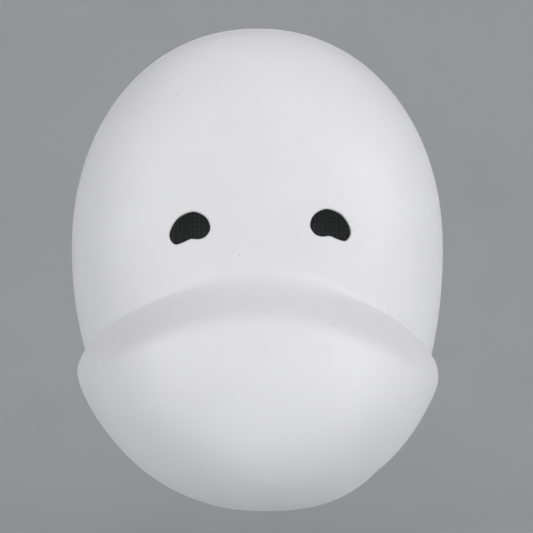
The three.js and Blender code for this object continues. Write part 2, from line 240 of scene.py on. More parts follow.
def dome_depth(x, z, grow):
    """The beak's front as a depth. Under the filled crease its steep edge runs on as a slope."""
    fill = fairing(x, z)
    ux, uz = roll(x, z, BEAK_ROLL)
    d = inside_beak(ux, uz, grow)
    upper = smooth_step(uz, BEAK_Z - 12, BEAK_Z + 18)
    start = np.maximum(2.5 * fill, 0.02)
    steep = 1 + BEAK_CORNER_STEEPNESS * (ux / BEAK_HALF_WIDTH) ** 2
    first, full = dome_rise(start, grow, upper, steep), dome_rise(d, grow, upper, steep)
    slope = (dome_rise(start + 0.01, grow, upper, steep) - first) / 0.01
    rise = np.where(d > start, full, first + slope * (d - start))
    rise = np.where((fill < 0.001) & (d < start), np.where(d < -0.02, -1e3, full), rise)
    edge = 0.95 * DEPTH * superellipse(np.minimum(gauge(ux, uz), 1) * 0.92)
    return edge + rise


def skin_depth(x, z, inset):
    """The whole front: the face and the beak, joined by a fillet that fades to a sharp crease."""
    a, b = face_depth(x, z, inset), dome_depth(x, z, -inset)
    radius = 0.6 + 15 * fairing(x, z)
    near = np.maximum(radius - np.abs(a - b), 0) / radius
    return np.maximum(a, b) + near ** 3 * radius / 6


BEAK_MIDDLE = np.array([0.0, BEAK_Z - 9])


def beak_edge(grow, count):
    """The beak's outline, as directions from a point in its middle."""
    angle = 2 * math.pi * np.arange(count) / count
    low, high = np.zeros(count), np.full(count, 200.0)
    for _ in range(40):
        r = (low + high) / 2
        inside = inside_beak(r * np.cos(angle), BEAK_MIDDLE[1] + r * np.sin(angle), grow) > 0
        low, high = np.where(inside, r, low), np.where(inside, high, r)
    return np.stack([low * np.cos(angle), BEAK_MIDDLE[1] + low * np.sin(angle)], 1)


def beak_ray(edge, share):
    """Points on the lines from the beak's middle to its outline, rolled into place."""
    p = BEAK_MIDDLE + (edge - BEAK_MIDDLE) * np.asarray(share)[..., None]
    return roll(p[..., 0], p[..., 1], -BEAK_ROLL)


def crease(inset, count):
    """Where the beak leaves the face: the share along each line, and the outline itself."""
    edge = beak_edge(-inset, count)
    low, high = np.full(len(edge), 0.5), np.ones(len(edge))
    x, z = beak_ray(edge, high)
    walled = dome_depth(x, z, -inset) >= face_depth(x, z, inset)
    for _ in range(40):
        share = (low + high) / 2
        x, z = beak_ray(edge, share)
        ahead = dome_depth(x, z, -inset) > face_depth(x, z, inset)
        low, high = np.where(ahead, share, low), np.where(ahead, high, share)
    return edge, np.where(walled, 1.0, low)


# ---- the eye holes ------------------------------------------------------------------------

BEAN = [(-9.2, 0.2), (-7.1, 5.0), (-1.5, 7.4), (4.9, 5.0), (8.5, 0.2), (9.3, -4.1),
        (6.9, -7.1), (3.2, -6.3), (-0.4, -4.8), (-4.0, -5.0), (-7.3, -3.6)]


def bean(side, margin, count=96):
    """The eye hole's outline grown by a margin, seen from the front."""
    key = np.array(BEAN)
    n = len(key)
    t = np.arange(count) * n / count
    i = t.astype(int)
    f = (t - i)[:, None]
    p = [key[(i + k) % n] for k in (-1, 0, 1, 2)]
    curve = 0.5 * (2 * p[1] + (p[2] - p[0]) * f + (2 * p[0] - 5 * p[1] + 4 * p[2] - p[3]) * f ** 2
                   + (3 * p[1] - p[0] - 3 * p[2] + p[3]) * f ** 3)
    along = np.roll(curve, -1, 0) - np.roll(curve, 1, 0)
    along /= np.linalg.norm(along, axis=1)[:, None]
    curve = curve + margin * np.stack([-along[:, 1], along[:, 0]], 1)
    e, u = curve[:, 0], curve[:, 1]
    x = side * EYE_X + side * e * math.cos(EYE_TILT) - u * math.sin(EYE_TILT)
    z = side * e * math.sin(EYE_TILT) + u * math.cos(EYE_TILT) + 0.7 * side
    return x, z


# ---- the shell's skin ---------------------------------------------------------------------

RIM_ROUND = 0.8
SHARES = np.linspace(0, 1, 801)
STEPS = np.hypot(np.diff(SHARES), np.diff(0.62 * superellipse(SHARES)))
LENGTHS = np.concatenate([[0], np.cumsum(STEPS)])


def unroll_face(x, z, inset):
    """The face laid out flat, its wall turned outwards, so that its triangles stay even."""
    angle = np.arctan2(z - WIDEST_Z, x)
    out = (rim_radius(angle) - inset) * np.interp(gauge(x, z, inset), SHARES, LENGTHS)
    return out * np.cos(angle), out * np.sin(angle)


def roll_face(u, v, inset):
    angle = np.arctan2(v, u)
    radius = rim_radius(angle) - inset
    r = radius * np.interp(np.hypot(u, v) / radius, LENGTHS, SHARES)
    return r * np.cos(angle), WIDEST_Z + r * np.sin(angle)


def within(px, py, loop):
    """Which points are inside a closed loop."""
    x0, y0 = loop[:, 0], loop[:, 1]
    x1, y1 = np.roll(x0, -1), np.roll(y0, -1)
    found = np.zeros(len(px), bool)
    for a, b, c, d in zip(x0, y0, x1, y1):
        cross = (b > py) != (d > py)
        if b != d:
            found ^= cross & (px < (c - a) * (py - b) / (d - b) + a)
    return found


def near_loop(px, py, loop, distance):
    found = np.zeros(len(px), bool)
    for a, b in loop:
        found |= (px - a) ** 2 + (py - b) ** 2 < distance ** 2
    return found


def face_patch(inset, crease_xz, crease_depths, rims, eyes, spacing):
    """The face between its rim, the beak's crease and the eye holes, as even triangles."""
    loops = [rims, crease_xz, *eyes]
    flat = []
    for x, z in loops:
        flat.append(np.stack(unroll_face(x, z, inset), 1))
    radius = rim_radius(np.linspace(-math.pi, math.pi, 200)).max() * LENGTHS[-1]
    steps = np.arange(-radius, radius, spacing)
    gx, gy = np.meshgrid(steps, np.arange(-radius, radius, spacing * math.sqrt(3) / 2))
    gx = gx + (np.arange(gx.shape[0])[:, None] % 2) * spacing / 2
    gx, gy = gx.ravel(), gy.ravel()
    keep = within(gx, gy, flat[0]) & ~within(gx, gy, flat[1])
    for loop in flat[2:]:
        keep &= ~within(gx, gy, loop)
    gx, gy = gx[keep], gy[keep]
    for loop in flat:
        keep = ~near_loop(gx, gy, loop, 0.7 * spacing)
        gx, gy = gx[keep], gy[keep]
    points = np.concatenate([*flat, np.stack([gx, gy], 1)])
    edges, start = [], 0
    for loop in flat:
        n = len(loop)
        edges += [(start + i, start + (i + 1) % n) for i in range(n)]
        start += n
    made = delaunay_2d_cdt([Vector(p) for p in points], edges, [], 0, 1e-7)
    verts, faces, sources = made[0], made[2], made[3]
    uv = np.array([v[:] for v in verts])
    x, z = roll_face(uv[:, 0], uv[:, 1], inset)
    exact = np.concatenate([np.stack(loop, 1) for loop in loops])
    for i, source in enumerate(sources):
        if source and source[0] < len(exact):
            x[i], z[i] = exact[source[0]]
    y = -skin_depth(x, z, inset)
    for i, source in enumerate(sources):
        if source and source[0] < len(rims[0]):
            y[i] = -RIM_ROUND
        elif source and source[0] < len(rims[0]) + len(crease_xz[0]):
            y[i] = -crease_depths[source[0] - len(rims[0])]
    middle = uv[np.array(faces)].mean(1)
    keep = within(middle[:, 0], middle[:, 1], flat[0]) & ~within(middle[:, 0], middle[:, 1], flat[1])
    for loop in flat[2:]:
        keep &= ~within(middle[:, 0], middle[:, 1], loop)
    return np.stack([x, y, z], 1), [f for f, k in zip(faces, keep) if k]


def ledge_share(edge, inset, back):
    """Where the beak is wider than the face: the share at which its flat back meets the face."""
    low, high = np.full(len(edge), 0.5), np.full(len(edge), 1.0)
    clear = face_depth(*beak_ray(edge, high), inset) >= back
    for _ in range(40):
        share = (low + high) / 2
        deep = face_depth(*beak_ray(edge, share), inset) > back
        low, high = np.where(deep, share, low), np.where(deep, high, share)
    return np.where(clear, 1.0, low)


def shell_skin(surface, inset, count, rings, spacing, margin):
    """One side of the wall: the beak, its edge, and the face round it with the eye holes' loops."""
    edge, share = crease(inset, count)
    walled = share == 1.0
    back = BEAK_BACK + inset
    foot = np.minimum(share, ledge_share(edge, inset, back))
    if inset:
        share = foot  # the inside has no ledge: the beak's wall stops where it meets the face
    x, z = beak_ray(edge, share)
    face_side = np.where(walled, np.maximum(face_depth(x, z, inset), back), skin_depth(x, z, inset))
    dome_side = np.where(walled, np.maximum(dome_depth(x, z, -inset), face_side), face_side)
    fx, fz = beak_ray(edge, foot)
    rows = []
    for k in range(1, rings + 1):
        t = 1 - (1 - k / rings) ** 1.6
        rx, rz = beak_ray(edge, share * t)
        depth = skin_depth(rx, rz, inset) if k < rings else dome_side
        rows.append(np.stack([rx, -depth, rz], 1))
    surface.strip(rows)
    cx, cz = beak_ray(edge[:1], np.array([0.0]))
    centre = [cx[0], -float(skin_depth(cx, cz, inset)[0]), cz[0]]
    n = len(edge)
    surface.add([centre, *rows[0]], [(0, 1 + i, 1 + (i + 1) % n) for i in range(n)])
    steps = [dome_side + (face_side - dome_side) * k / 4 for k in range(5)]
    wall = [np.stack([x, -depth, z], 1) for depth in steps]
    surface.strip([*wall, np.stack([fx, -face_side, fz], 1)])
    angle = 2 * math.pi * np.arange(520) / 520
    r = rim_radius(angle) - inset
    rims = (r * np.cos(angle), WIDEST_Z + r * np.sin(angle))
    eyes = [bean(side, margin) for side in (-1, 1)]
    surface.add(*face_patch(inset, (fx, fz), face_side, rims, eyes, spacing))


# Deeper than the ledge outside the beak's corners, at 13 mm, so that the ledge counts as painted.
SHELL_MIDDLE = (0, -14.4, -30)


def shell_mesh():
    """The whole shell. Faces that look towards its middle are the unpainted inside."""
    surface = Surface()
    shell_skin(surface, 0.0, 480, 54, 1.5, 1.0)
    shell_skin(surface, WALL, 240, 26, 3.0, 0.6)
    angle = 2 * math.pi * np.arange(520) / 520
    rows = []
    for k in range(5):
        a = math.pi / 2 * k / 4
        rows.append((RIM_ROUND * (1 - math.cos(a)), -RIM_ROUND * (1 - math.sin(a))))
    rows += [(WALL - inset, y) for inset, y in reversed(rows)]
    loops = []
    for inset, y in rows:
        r = rim_radius(angle) - inset
        loops.append(np.stack([r * np.cos(angle), np.full_like(r, y), WIDEST_Z + r * np.sin(angle)], 1))
    surface.strip(loops)
    for side in (-1, 1):
        loops = []
        for k in range(6):
            a = math.pi / 2 * k / 5
            x, z = bean(side, 1.0 - math.sin(a))
            loops.append(np.stack([x, -(skin_depth(x, z, 0.0) - (1 - math.cos(a))), z], 1))
        for k in range(5):
            a = math.pi / 2 * k / 4
            x, z = bean(side, 0.6 * (1 - math.cos(a)))
            loops.append(np.stack([x, -(skin_depth(x, z, WALL) + 0.6 * (1 - math.sin(a))), z], 1))
        surface.strip(loops)
    mesh = mesh_of(surface.points, surface.faces, "mask_shell", 38)
    work = bmesh.new()
    work.from_mesh(mesh)
    middle = Vector(SHELL_MIDDLE) * MM
    for face in work.faces:
        face.material_index = int(face.normal.dot(face.calc_center_median() - middle) < 0)
    for part in (fittings_mesh(), flange_mesh()):
        extra = mesh_of(part.points, part.faces, "fittings", 38)
        for face in extra.polygons:
            face.material_index = 1
        work.from_mesh(extra)
        bpy.data.meshes.remove(extra)
    work.to_mesh(mesh)
    work.free()
    return mesh


# ---- what stands on the inside of the wall --------------------------------------------------

COLLAR_BACK = -58.5
EAR_OFFSET = 23.0
PIVOT_Y = -14.0
PIVOT_Z = -10.0


def turned(profile, place, count=48):
    """A turned form: rows of (radius, distance), each ring placed by a function."""
    angle = 2 * math.pi * np.arange(count) / count
    return [place(r * np.cos(angle), r * np.sin(angle), np.full(count, d)) for r, d in profile]


def on_wall(points, buried):
    """The same ring laid on the face, sunk into its wall."""
    points[:, 1] = -(face_depth(points[:, 0], points[:, 2], 0) - WALL + buried)
    return points


# The collar's half width, half height and depth, from its outer foot over its back to its inner foot.
COLLAR_SECTION = [(20.5, 16, None), (20.5, 16, COLLAR_BACK - 0.6), (20.3, 15.8, COLLAR_BACK - 0.2),
                  (19.9, 15.4, COLLAR_BACK), (15.6, 12.6, COLLAR_BACK),
                  (15.1, 12.1, COLLAR_BACK - 0.3), (15, 12, COLLAR_BACK - 0.8), (15, 12, None)]


def fittings_mesh():
    """The eye screens' collars and screw posts, and the strap pivots' bosses."""
    surface = Surface()
    angle = 2 * math.pi * np.arange(96) / 96
    for side in (-1, 1):
        eye = side * EYE_X
        rows = []
        for half_x, half_z, y in COLLAR_SECTION:
            x, z = eye + half_x * np.cos(angle), half_z * np.sin(angle)
            row = np.stack([x, np.full(96, y or 0.0), z], 1)
            rows.append(on_wall(row, 1.2) if y is None else row)
        surface.strip([*rows, rows[0]])
        for ear in (-1, 1):
            at = eye + ear * EAR_OFFSET
            top = COLLAR_BACK + 1.1
            profile = [(0.02, top), (4.7, top), (3.6, top), (3.5, top - 0.5), (3.1, top), (1.9, top),
                       (1.55, top - 0.3), (1.55, -61), (0.02, -61)]
            rings = turned(profile, lambda a, b, d, at=at: np.stack([at + a, d, b], 1), 40)
            rings[:3] = [on_wall(ring, sunk) for ring, sunk in zip(rings, (1.4, 1.4, -0.8))]
            surface.strip(rings)
        profile = [(0.02, 92.2), (6.2, 92.2), (5.0, 89.0), (4.5, 87.0), (4.5, 82.3), (4.1, 81.8),
                   (2.1, 81.8), (1.8, 82.1), (1.8, 88.5), (0.02, 88.5)]
        surface.strip(turned(profile, lambda a, b, d, side=side: np.stack(
            [side * d, PIVOT_Y + a, PIVOT_Z + b], 1)))
    return surface


FLANGE_WIDTH = 6.0
FLANGE_BACK = WALL + 2.3


def flange_mesh():
    """The beak's bonding flange, a thin ledge round its opening behind the face."""
    rows = []
    edge, wide = beak_edge(-WALL, 240), beak_edge(FLANGE_WIDTH, 240)
    room = face_depth(*beak_ray(wide, np.ones(240)), 0.0)
    reach = (smooth_step(80 - np.abs(edge[:, 0]), 0, 22) * smooth_step(room, 26, 36))[:, None]
    section = [(-WALL, 1.2), (FLANGE_WIDTH, 1.2), (FLANGE_WIDTH, FLANGE_BACK - 0.7),
               (FLANGE_WIDTH - 0.2, FLANGE_BACK - 0.2), (FLANGE_WIDTH - 0.7, FLANGE_BACK),
               (0.6 - WALL, FLANGE_BACK), (0.2 - WALL, FLANGE_BACK - 0.2), (-WALL, FLANGE_BACK - 0.6)]
    for grow, inset in section:
        at = edge + (beak_edge(grow, 240) - edge) * reach
        x, z = beak_ray(at, np.ones(240))
        depth = face_depth(x, z, 1.2 + (inset - 1.2) * reach[:, 0])
        rows.append(np.stack([x, -np.maximum(depth, BEAK_BACK + 8), z], 1))
    surface = Surface()
    surface.strip([*rows, rows[0]])
    return surface


# ---- plates, washers and screws -----------------------------------------------------------------

def arc(cx, cy, radius, start, end, count):
    a = np.radians(np.linspace(start, end, count))
    return np.stack([cx + radius * np.cos(a), cy + radius * np.sin(a)], 1)


def circle(cx, cy, radius, count=32):
    return arc(cx, cy, radius, 0, 360 - 360 / count, count)


def rounded_box(cx, cy, half_x, half_y, radius):
    x, y = half_x - radius, half_y - radius
    return np.concatenate([arc(cx + a * x, cy + b * y, radius, turn, turn + 90, 7)
                           for a, b, turn in ((1, 1, 0), (-1, 1, 90), (-1, -1, 180), (1, -1, 270))])


def offset(loop, margin):
    """An anticlockwise outline moved outwards by a margin."""
    along = np.roll(loop, -1, 0) - np.roll(loop, 1, 0)
    along /= np.linalg.norm(along, axis=1)[:, None]
    return loop + margin * np.stack([along[:, 1], -along[:, 0]], 1)


def plate(surface, outer, holes, low, high, soft, place):
    """A flat piece between two levels, with rounded edges at its outline and its holes."""
    turns = [math.pi / 2 * k / 3 for k in range(4)]
    edge = [(soft * (1 - math.sin(a)), soft * (1 - math.cos(a))) for a in turns]
    levels = [(inset, low + h) for inset, h in edge] + [(inset, high - h) for inset, h in reversed(edge)]
    flat, edges = [], []
    for loop, way in [(outer, -1)] + [(hole, 1) for hole in holes]:
        surface.strip([place(*offset(loop, way * inset).T, np.full(len(loop), level))
                       for inset, level in levels])
        start, n = sum(map(len, flat)), len(loop)
        edges += [(start + i, start + (i + 1) % n) for i in range(n)]
        flat.append(offset(loop, way * soft))
    made = delaunay_2d_cdt([Vector(p) for p in np.concatenate(flat)], edges, [], 0, 1e-6)
    at = np.array([v[:] for v in made[0]])
    middle = at[np.array(made[2])].mean(1)
    keep = within(middle[:, 0], middle[:, 1], flat[0])
    for loop in flat[1:]:
        keep &= ~within(middle[:, 0], middle[:, 1], loop)
    faces = [face for face, kept in zip(made[2], keep) if kept]
    for level in (low, high):
        surface.add(place(at[:, 0], at[:, 1], np.full(len(at), level)), faces)


MESH_BACK = -57.4
SCREEN_HALF_WIDTH = 18.2
SCREEN_HALF_HEIGHT = 14.7
WIRE_SPACING = 0.6
WIRE_RADIUS = 0.25
RETAINER_FRONT = -57.1
RETAINER_BACK = -55.1


def retainer_outline(count=144):
    """An oval with an ear at each end, eased together. Its points lie closer along the ears."""
    angle = 2 * math.pi * np.arange(count) / count
    angle = angle - 0.4 * np.sin(2 * angle)
    low, high = np.zeros(count), np.full(count, 40.0)
    for _ in range(40):
        r = (low + high) / 2
        x, z = r * np.cos(angle), r * np.sin(angle)
        oval = (1 - np.hypot(x / 20.5, z / 16)) * 18
        ear = 4 - np.hypot(np.abs(x) - EAR_OFFSET, z)
        near = np.maximum(3 - np.abs(oval - ear), 0) / 3
        inside = np.maximum(oval, ear) + near ** 3 * 3 / 6 > 0
        low, high = np.where(inside, r, low), np.where(inside, high, r)
    return np.stack([low * np.cos(angle), low * np.sin(angle)], 1)


def retainer_mesh(side):
    surface = Surface()
    a = 2 * math.pi * np.arange(96) / 96
    window = np.stack([15.5 * np.cos(a), 12 * np.sin(a)], 1)
    holes = [window] + [circle(ear * EAR_OFFSET, 0, 1.55, 24) for ear in (-1, 1)]
    plate(surface, retainer_outline(), holes, RETAINER_FRONT, RETAINER_BACK, 0.45,
          lambda x, z, y: np.stack([side * EYE_X + x, y, z], 1))
    ridge = [np.stack([side * EYE_X + w * np.cos(a), np.full(96, y), h * np.sin(a)], 1)
             for w, h, y in ((17.2, 13.6, -55.4), (17.3, 13.7, -54.9), (17.7, 14.1, -54.7),
                             (18.3, 14.6, -54.7), (18.7, 15.0, -54.9), (18.8, 15.1, -55.4))]
    surface.strip([*ridge, ridge[0]])
    return mesh_of(surface.points, surface.faces, "retainer", 40)


def washer_mesh(side):
    inner, outer, low, high, soft = 1.75, 4.0, 78.4, 79.2, 0.2
    profile = [(inner + soft, low), (outer - soft, low), (outer, low + soft), (outer, high - soft),
               (outer - soft, high), (inner + soft, high), (inner, high - soft), (inner, low + soft)]
    rows = turned(profile, lambda a, b, d: np.stack([side * d, PIVOT_Y + a, PIVOT_Z + b], 1), 64)
    surface = Surface()
    surface.strip([*rows, rows[0]])
    return mesh_of(surface.points, surface.faces, "washer", 40)


def screw_mesh(place, head_radius, head_height, shank_radius, length, plain):
    """A pan-head screw with a cross recess and a cut thread. Along its axis, 0 is the head's seat
    and the thread runs to minus its length."""
    count = 72
    angle = 2 * math.pi * np.arange(count) / count
    arm, reach, depth = 0.15 * head_radius, 0.66 * head_radius, 0.5 * head_height
    rows = []
    for k in range(1, 19):
        r = head_radius * 0.93 * k / 18
        u, v = r * np.cos(angle), r * np.sin(angle)
        least, most = np.minimum(abs(u), abs(v)), np.maximum(abs(u), abs(v))
        cut = (1 - smooth_step(least, arm - 0.05, arm + 0.07)) * (1 - smooth_step(most, reach - 0.35, reach))
        top = head_height * (1 - 0.28 * (r / head_radius) ** 2) - depth * cut
        rows.append(place(u, v, top))
    for r, d in ((0.98, 0.62), (1.0, 0.5), (1.0, 0.1), (0.96, 0.0)):
        rows.append(place(head_radius * r * np.cos(angle), head_radius * r * np.sin(angle),
                          np.full(count, head_height * d)))
    pitch, rise = 1.0, 0.16
    for d in np.arange(0.0, length, 0.16):
        wave = np.abs(((angle / (2 * math.pi) + d / pitch) % 1) * 2 - 1)
        r = shank_radius - rise * wave * (d > plain)
        r = np.minimum(r, 0.25 + (length - d) * 0.9)
        rows.append(place(r * np.cos(angle), r * np.sin(angle), np.full(count, -d)))
    surface = Surface()
    surface.strip(rows)
    for row, level in ((rows[0], head_height - depth), (rows[-1], -length)):
        middle = place(np.zeros(1), np.zeros(1), np.full(1, level))
        surface.add([*middle, *row], [(0, 1 + i, 1 + (i + 1) % count) for i in range(count)])
    return mesh_of(surface.points, surface.faces, "screw", 40)


TAB_OUTER = 81.5
TAB_INNER = 79.5
TAB_HALF_WIDTH = 13.0
BAR_Z = -33.5


def tab_mesh(side):
    """The strap's flat tab: round about its pivot, with a slot that leaves a bar for the strap."""
    low = BAR_Z - 1.0
    half = TAB_HALF_WIDTH
    outer = np.concatenate([arc(PIVOT_Y, PIVOT_Z, half, 0, 180, 41),
                            arc(PIVOT_Y - half + 2, low + 2, 2, 180, 270, 8),
                            arc(PIVOT_Y + half - 2, low + 2, 2, 270, 360, 8)])
    slot = rounded_box(PIVOT_Y, BAR_Z + 2.6, 11, 1.6, 1.0)
    surface = Surface()
    plate(surface, outer, [circle(PIVOT_Y, PIVOT_Z, 1.58), slot], TAB_INNER, TAB_OUTER, 0.5,
          lambda y, z, x: np.stack([side * x, y, z], 1))
    return mesh_of(surface.points, surface.faces, "tab", 40)


# ---- the elastic strap and its slide -------------------------------------------------------------

BAR_X = (TAB_INNER + TAB_OUTER) / 2
LEG = np.array([-0.32, -1.0]) / math.hypot(0.32, 1)
ACROSS = np.array([-LEG[1], LEG[0]])
LEG_LENGTH = 42.0
LOOP_RADIUS = 2.25
STRAP_THICKNESS = 1.0
STRAP_HALF_WIDTH = 10.0
STRAP_BOTTOM = -106.0
SEWN_TAIL = 22.0
FREE_TAIL = 38.0
SLIDER_START = 16.0
SLIDER_END = 28.0


def leg_at(down, across):
    """A point beside the strap's leg, measured down it from the tab's bar."""
    return np.array([BAR_X, BAR_Z]) + LEG * down + ACROSS * across


def half_route(tail, sewn):
    """Half of the strap's route in x and z: from below the chin, up the leg, round the tab's bar."""
    leg_end = leg_at(LEG_LENGTH, LOOP_RADIUS)
    bend = leg_end + LEG * (STRAP_BOTTOM - leg_end[1]) / LEG[1]
    points = []
    for t in np.linspace(0, 1, 60, endpoint=False):
        points.append((1 - t) ** 2 * np.array([0, STRAP_BOTTOM]) + 2 * t * (1 - t) * bend + t * t * leg_end)
    points += [leg_at(down, LOOP_RADIUS) for down in np.arange(LEG_LENGTH, 0.5, -1.0)]
    points += [leg_at(-LOOP_RADIUS * math.sin(a), LOOP_RADIUS * math.cos(a))
               for a in np.linspace(0, math.pi, 19)]
    folded = LOOP_RADIUS - STRAP_THICKNESS - 0.3 if sewn else -LOOP_RADIUS
    for down in np.arange(1.0, tail + 0.01, 1.0):
        points.append(leg_at(down, -LOOP_RADIUS + (folded + LOOP_RADIUS) * smooth_step(down, 0, 8)))
    return points


def strap_mesh():
    """Braided elastic: fine lengthwise ribs, each a row of stretched rubber under its cover."""
    left = [point * (-1, 1) for point in half_route(SEWN_TAIL, True)]
    route = np.array(left[::-1] + half_route(FREE_TAIL, False)[1:])
    along = np.gradient(route, axis=0)
    along /= np.linalg.norm(along, axis=1)[:, None]
    normal = np.stack([-along[:, 1], along[:, 0]], 1)
    travel = np.concatenate([[0], np.cumsum(np.linalg.norm(np.diff(route, axis=0), axis=1))])
    ribs, per_rib = 13, 5
    v = np.linspace(-1, 1, ribs * per_rib + 1)
    height = (0.5 - 0.13 * np.abs(np.cos(math.pi * ribs * (v + 1) / 2))) * (1 - np.abs(v) ** 24 * 0.35)
    width = np.concatenate([v, v[::-1]]) * STRAP_HALF_WIDTH
    level = np.concatenate([height, -height[::-1]]) * STRAP_THICKNESS
    rows = [np.stack([p[0] + n[0] * level, PIVOT_Y + width, p[1] + n[1] * level], 1)
            for p, n in zip(route, normal)]
    surface = Surface()
    surface.strip(rows)
    n = len(width)
    for k, end in enumerate((rows[0], rows[-1])):
        half = n // 2
        surface.add(end, [(i, i + 1, n - 2 - i, n - 1 - i) for i in range(half - 1)])
    mesh = mesh_of(surface.points, surface.faces, "strap", 60)
    layer = mesh.uv_layers.new(name="weave")
    spots = np.array([vertex.co[:] for vertex in mesh.vertices]) / MM
    tree = KDTree(len(route))
    for k, p in enumerate(route):
        tree.insert((p[0], 0, p[1]), k)
    tree.balance()
    down = [travel[tree.find((x, 0, z))[1]] for x, y, z in spots]
    for loop in mesh.loops:
        layer.data[loop.index].uv = (down[loop.vertex_index] * MM, spots[loop.vertex_index][1] * MM)
    return mesh


def strap_seams():
    """The stitch lines of the sewn tail, a boxed cross, on both faces of its two plies."""
    corners = [(9, -7.5), (19, -7.5), (19, 7.5), (9, 7.5)]
    lines = [[*corners, corners[0]], [corners[0], corners[2]], [corners[1], corners[3]]]
    points, edges = [], []
    for across in (LOOP_RADIUS + 0.52, LOOP_RADIUS - STRAP_THICKNESS - 0.3 - 0.52):
        for line in lines:
            for k, (down, y) in enumerate(line):
                x, z = leg_at(down, across) * (-1, 1)
                points.append((x * MM, (PIVOT_Y + y) * MM, z * MM))
                if k:
                    edges.append((len(points) - 2, len(points) - 1))
    mesh = bpy.data.meshes.new("seams")
    mesh.from_pydata(points, edges, [])
    return mesh


def slider_mesh():
    """The slide: a rounded sleeve round both plies, a bar between them, and grip ridges."""
    def place(across, y, down):
        at = np.array([BAR_X, BAR_Z]) + np.multiply.outer(down, LEG) + np.multiply.outer(across, ACROSS)
        return np.stack([at[:, 0], PIVOT_Y + y, at[:, 1]], 1)

    surface = Surface()
    inner = LOOP_RADIUS + STRAP_THICKNESS / 2 + 0.4
    plate(surface, rounded_box(0, 0, inner + 1.5, STRAP_HALF_WIDTH + 2.4, 1.4),
          [rounded_box(0, 0, inner, STRAP_HALF_WIDTH + 0.5, 0.8)], SLIDER_START, SLIDER_END, 0.5, place)
    middle = (SLIDER_START + SLIDER_END) / 2
    plate(surface, rounded_box(0, middle, 1.35, 2.0, 0.6), [], -11.0, 11.0, 0.2,
          lambda across, down, y: place(across, y, down))
    for face in (-1, 1):
        for ridge in range(5):
            level = sorted((face * (inner + 1.2), face * (inner + 1.85)))
            grip = rounded_box(0, middle + (ridge - 2) * 1.9, 8.5 - abs(ridge - 2), 0.45, 0.42)
            plate(surface, grip, [], *level, 0.2, lambda y, down, across: place(across, y, down))
    return mesh_of(surface.points, surface.faces, "slider", 40)


# ---- what geometry nodes repeat ------------------------------------------------------------------

def node_tree(name, inputs):
    """A geometry node tree with named inputs, and the sockets that carry them."""
    tree = bpy.data.node_groups.new(name, "GeometryNodeTree")
    tree.interface.new_socket("Geometry", in_out="INPUT", socket_type="NodeSocketGeometry")
    tree.interface.new_socket("Geometry", in_out="OUTPUT", socket_type="NodeSocketGeometry")
    for label, kind in inputs.items():
        tree.interface.new_socket(label, in_out="INPUT", socket_type="NodeSocket" + kind)
    return tree, add(tree, "NodeGroupInput").outputs


def close_tree(tree, geometry, material):
    """The tree's end: real geometry, with its material."""
    real = add(tree, "GeometryNodeRealizeInstances", {"Geometry": geometry})
    painted = add(tree, "GeometryNodeSetMaterial", {"Geometry": real.outputs[0], "Material": material})
    add(tree, "NodeGroupOutput", {"Geometry": painted.outputs[0]})


def grown(tree, start, values):
    """The plain mesh that a tree makes from a starting mesh."""
    holder = bpy.data.objects.new("holder", start)
    bpy.context.collection.objects.link(holder)
    modifier = holder.modifiers.new("nodes", "NODES")
    modifier.node_group = tree
    for item in tree.interface.items_tree:
        if item.in_out == "INPUT" and item.name in values:
            modifier[item.identifier] = values[item.name]
    graph = bpy.context.evaluated_depsgraph_get()
    mesh = bpy.data.meshes.new_from_object(holder.evaluated_get(graph))
    bpy.data.objects.remove(holder)
    mesh.shade_smooth()
    return mesh


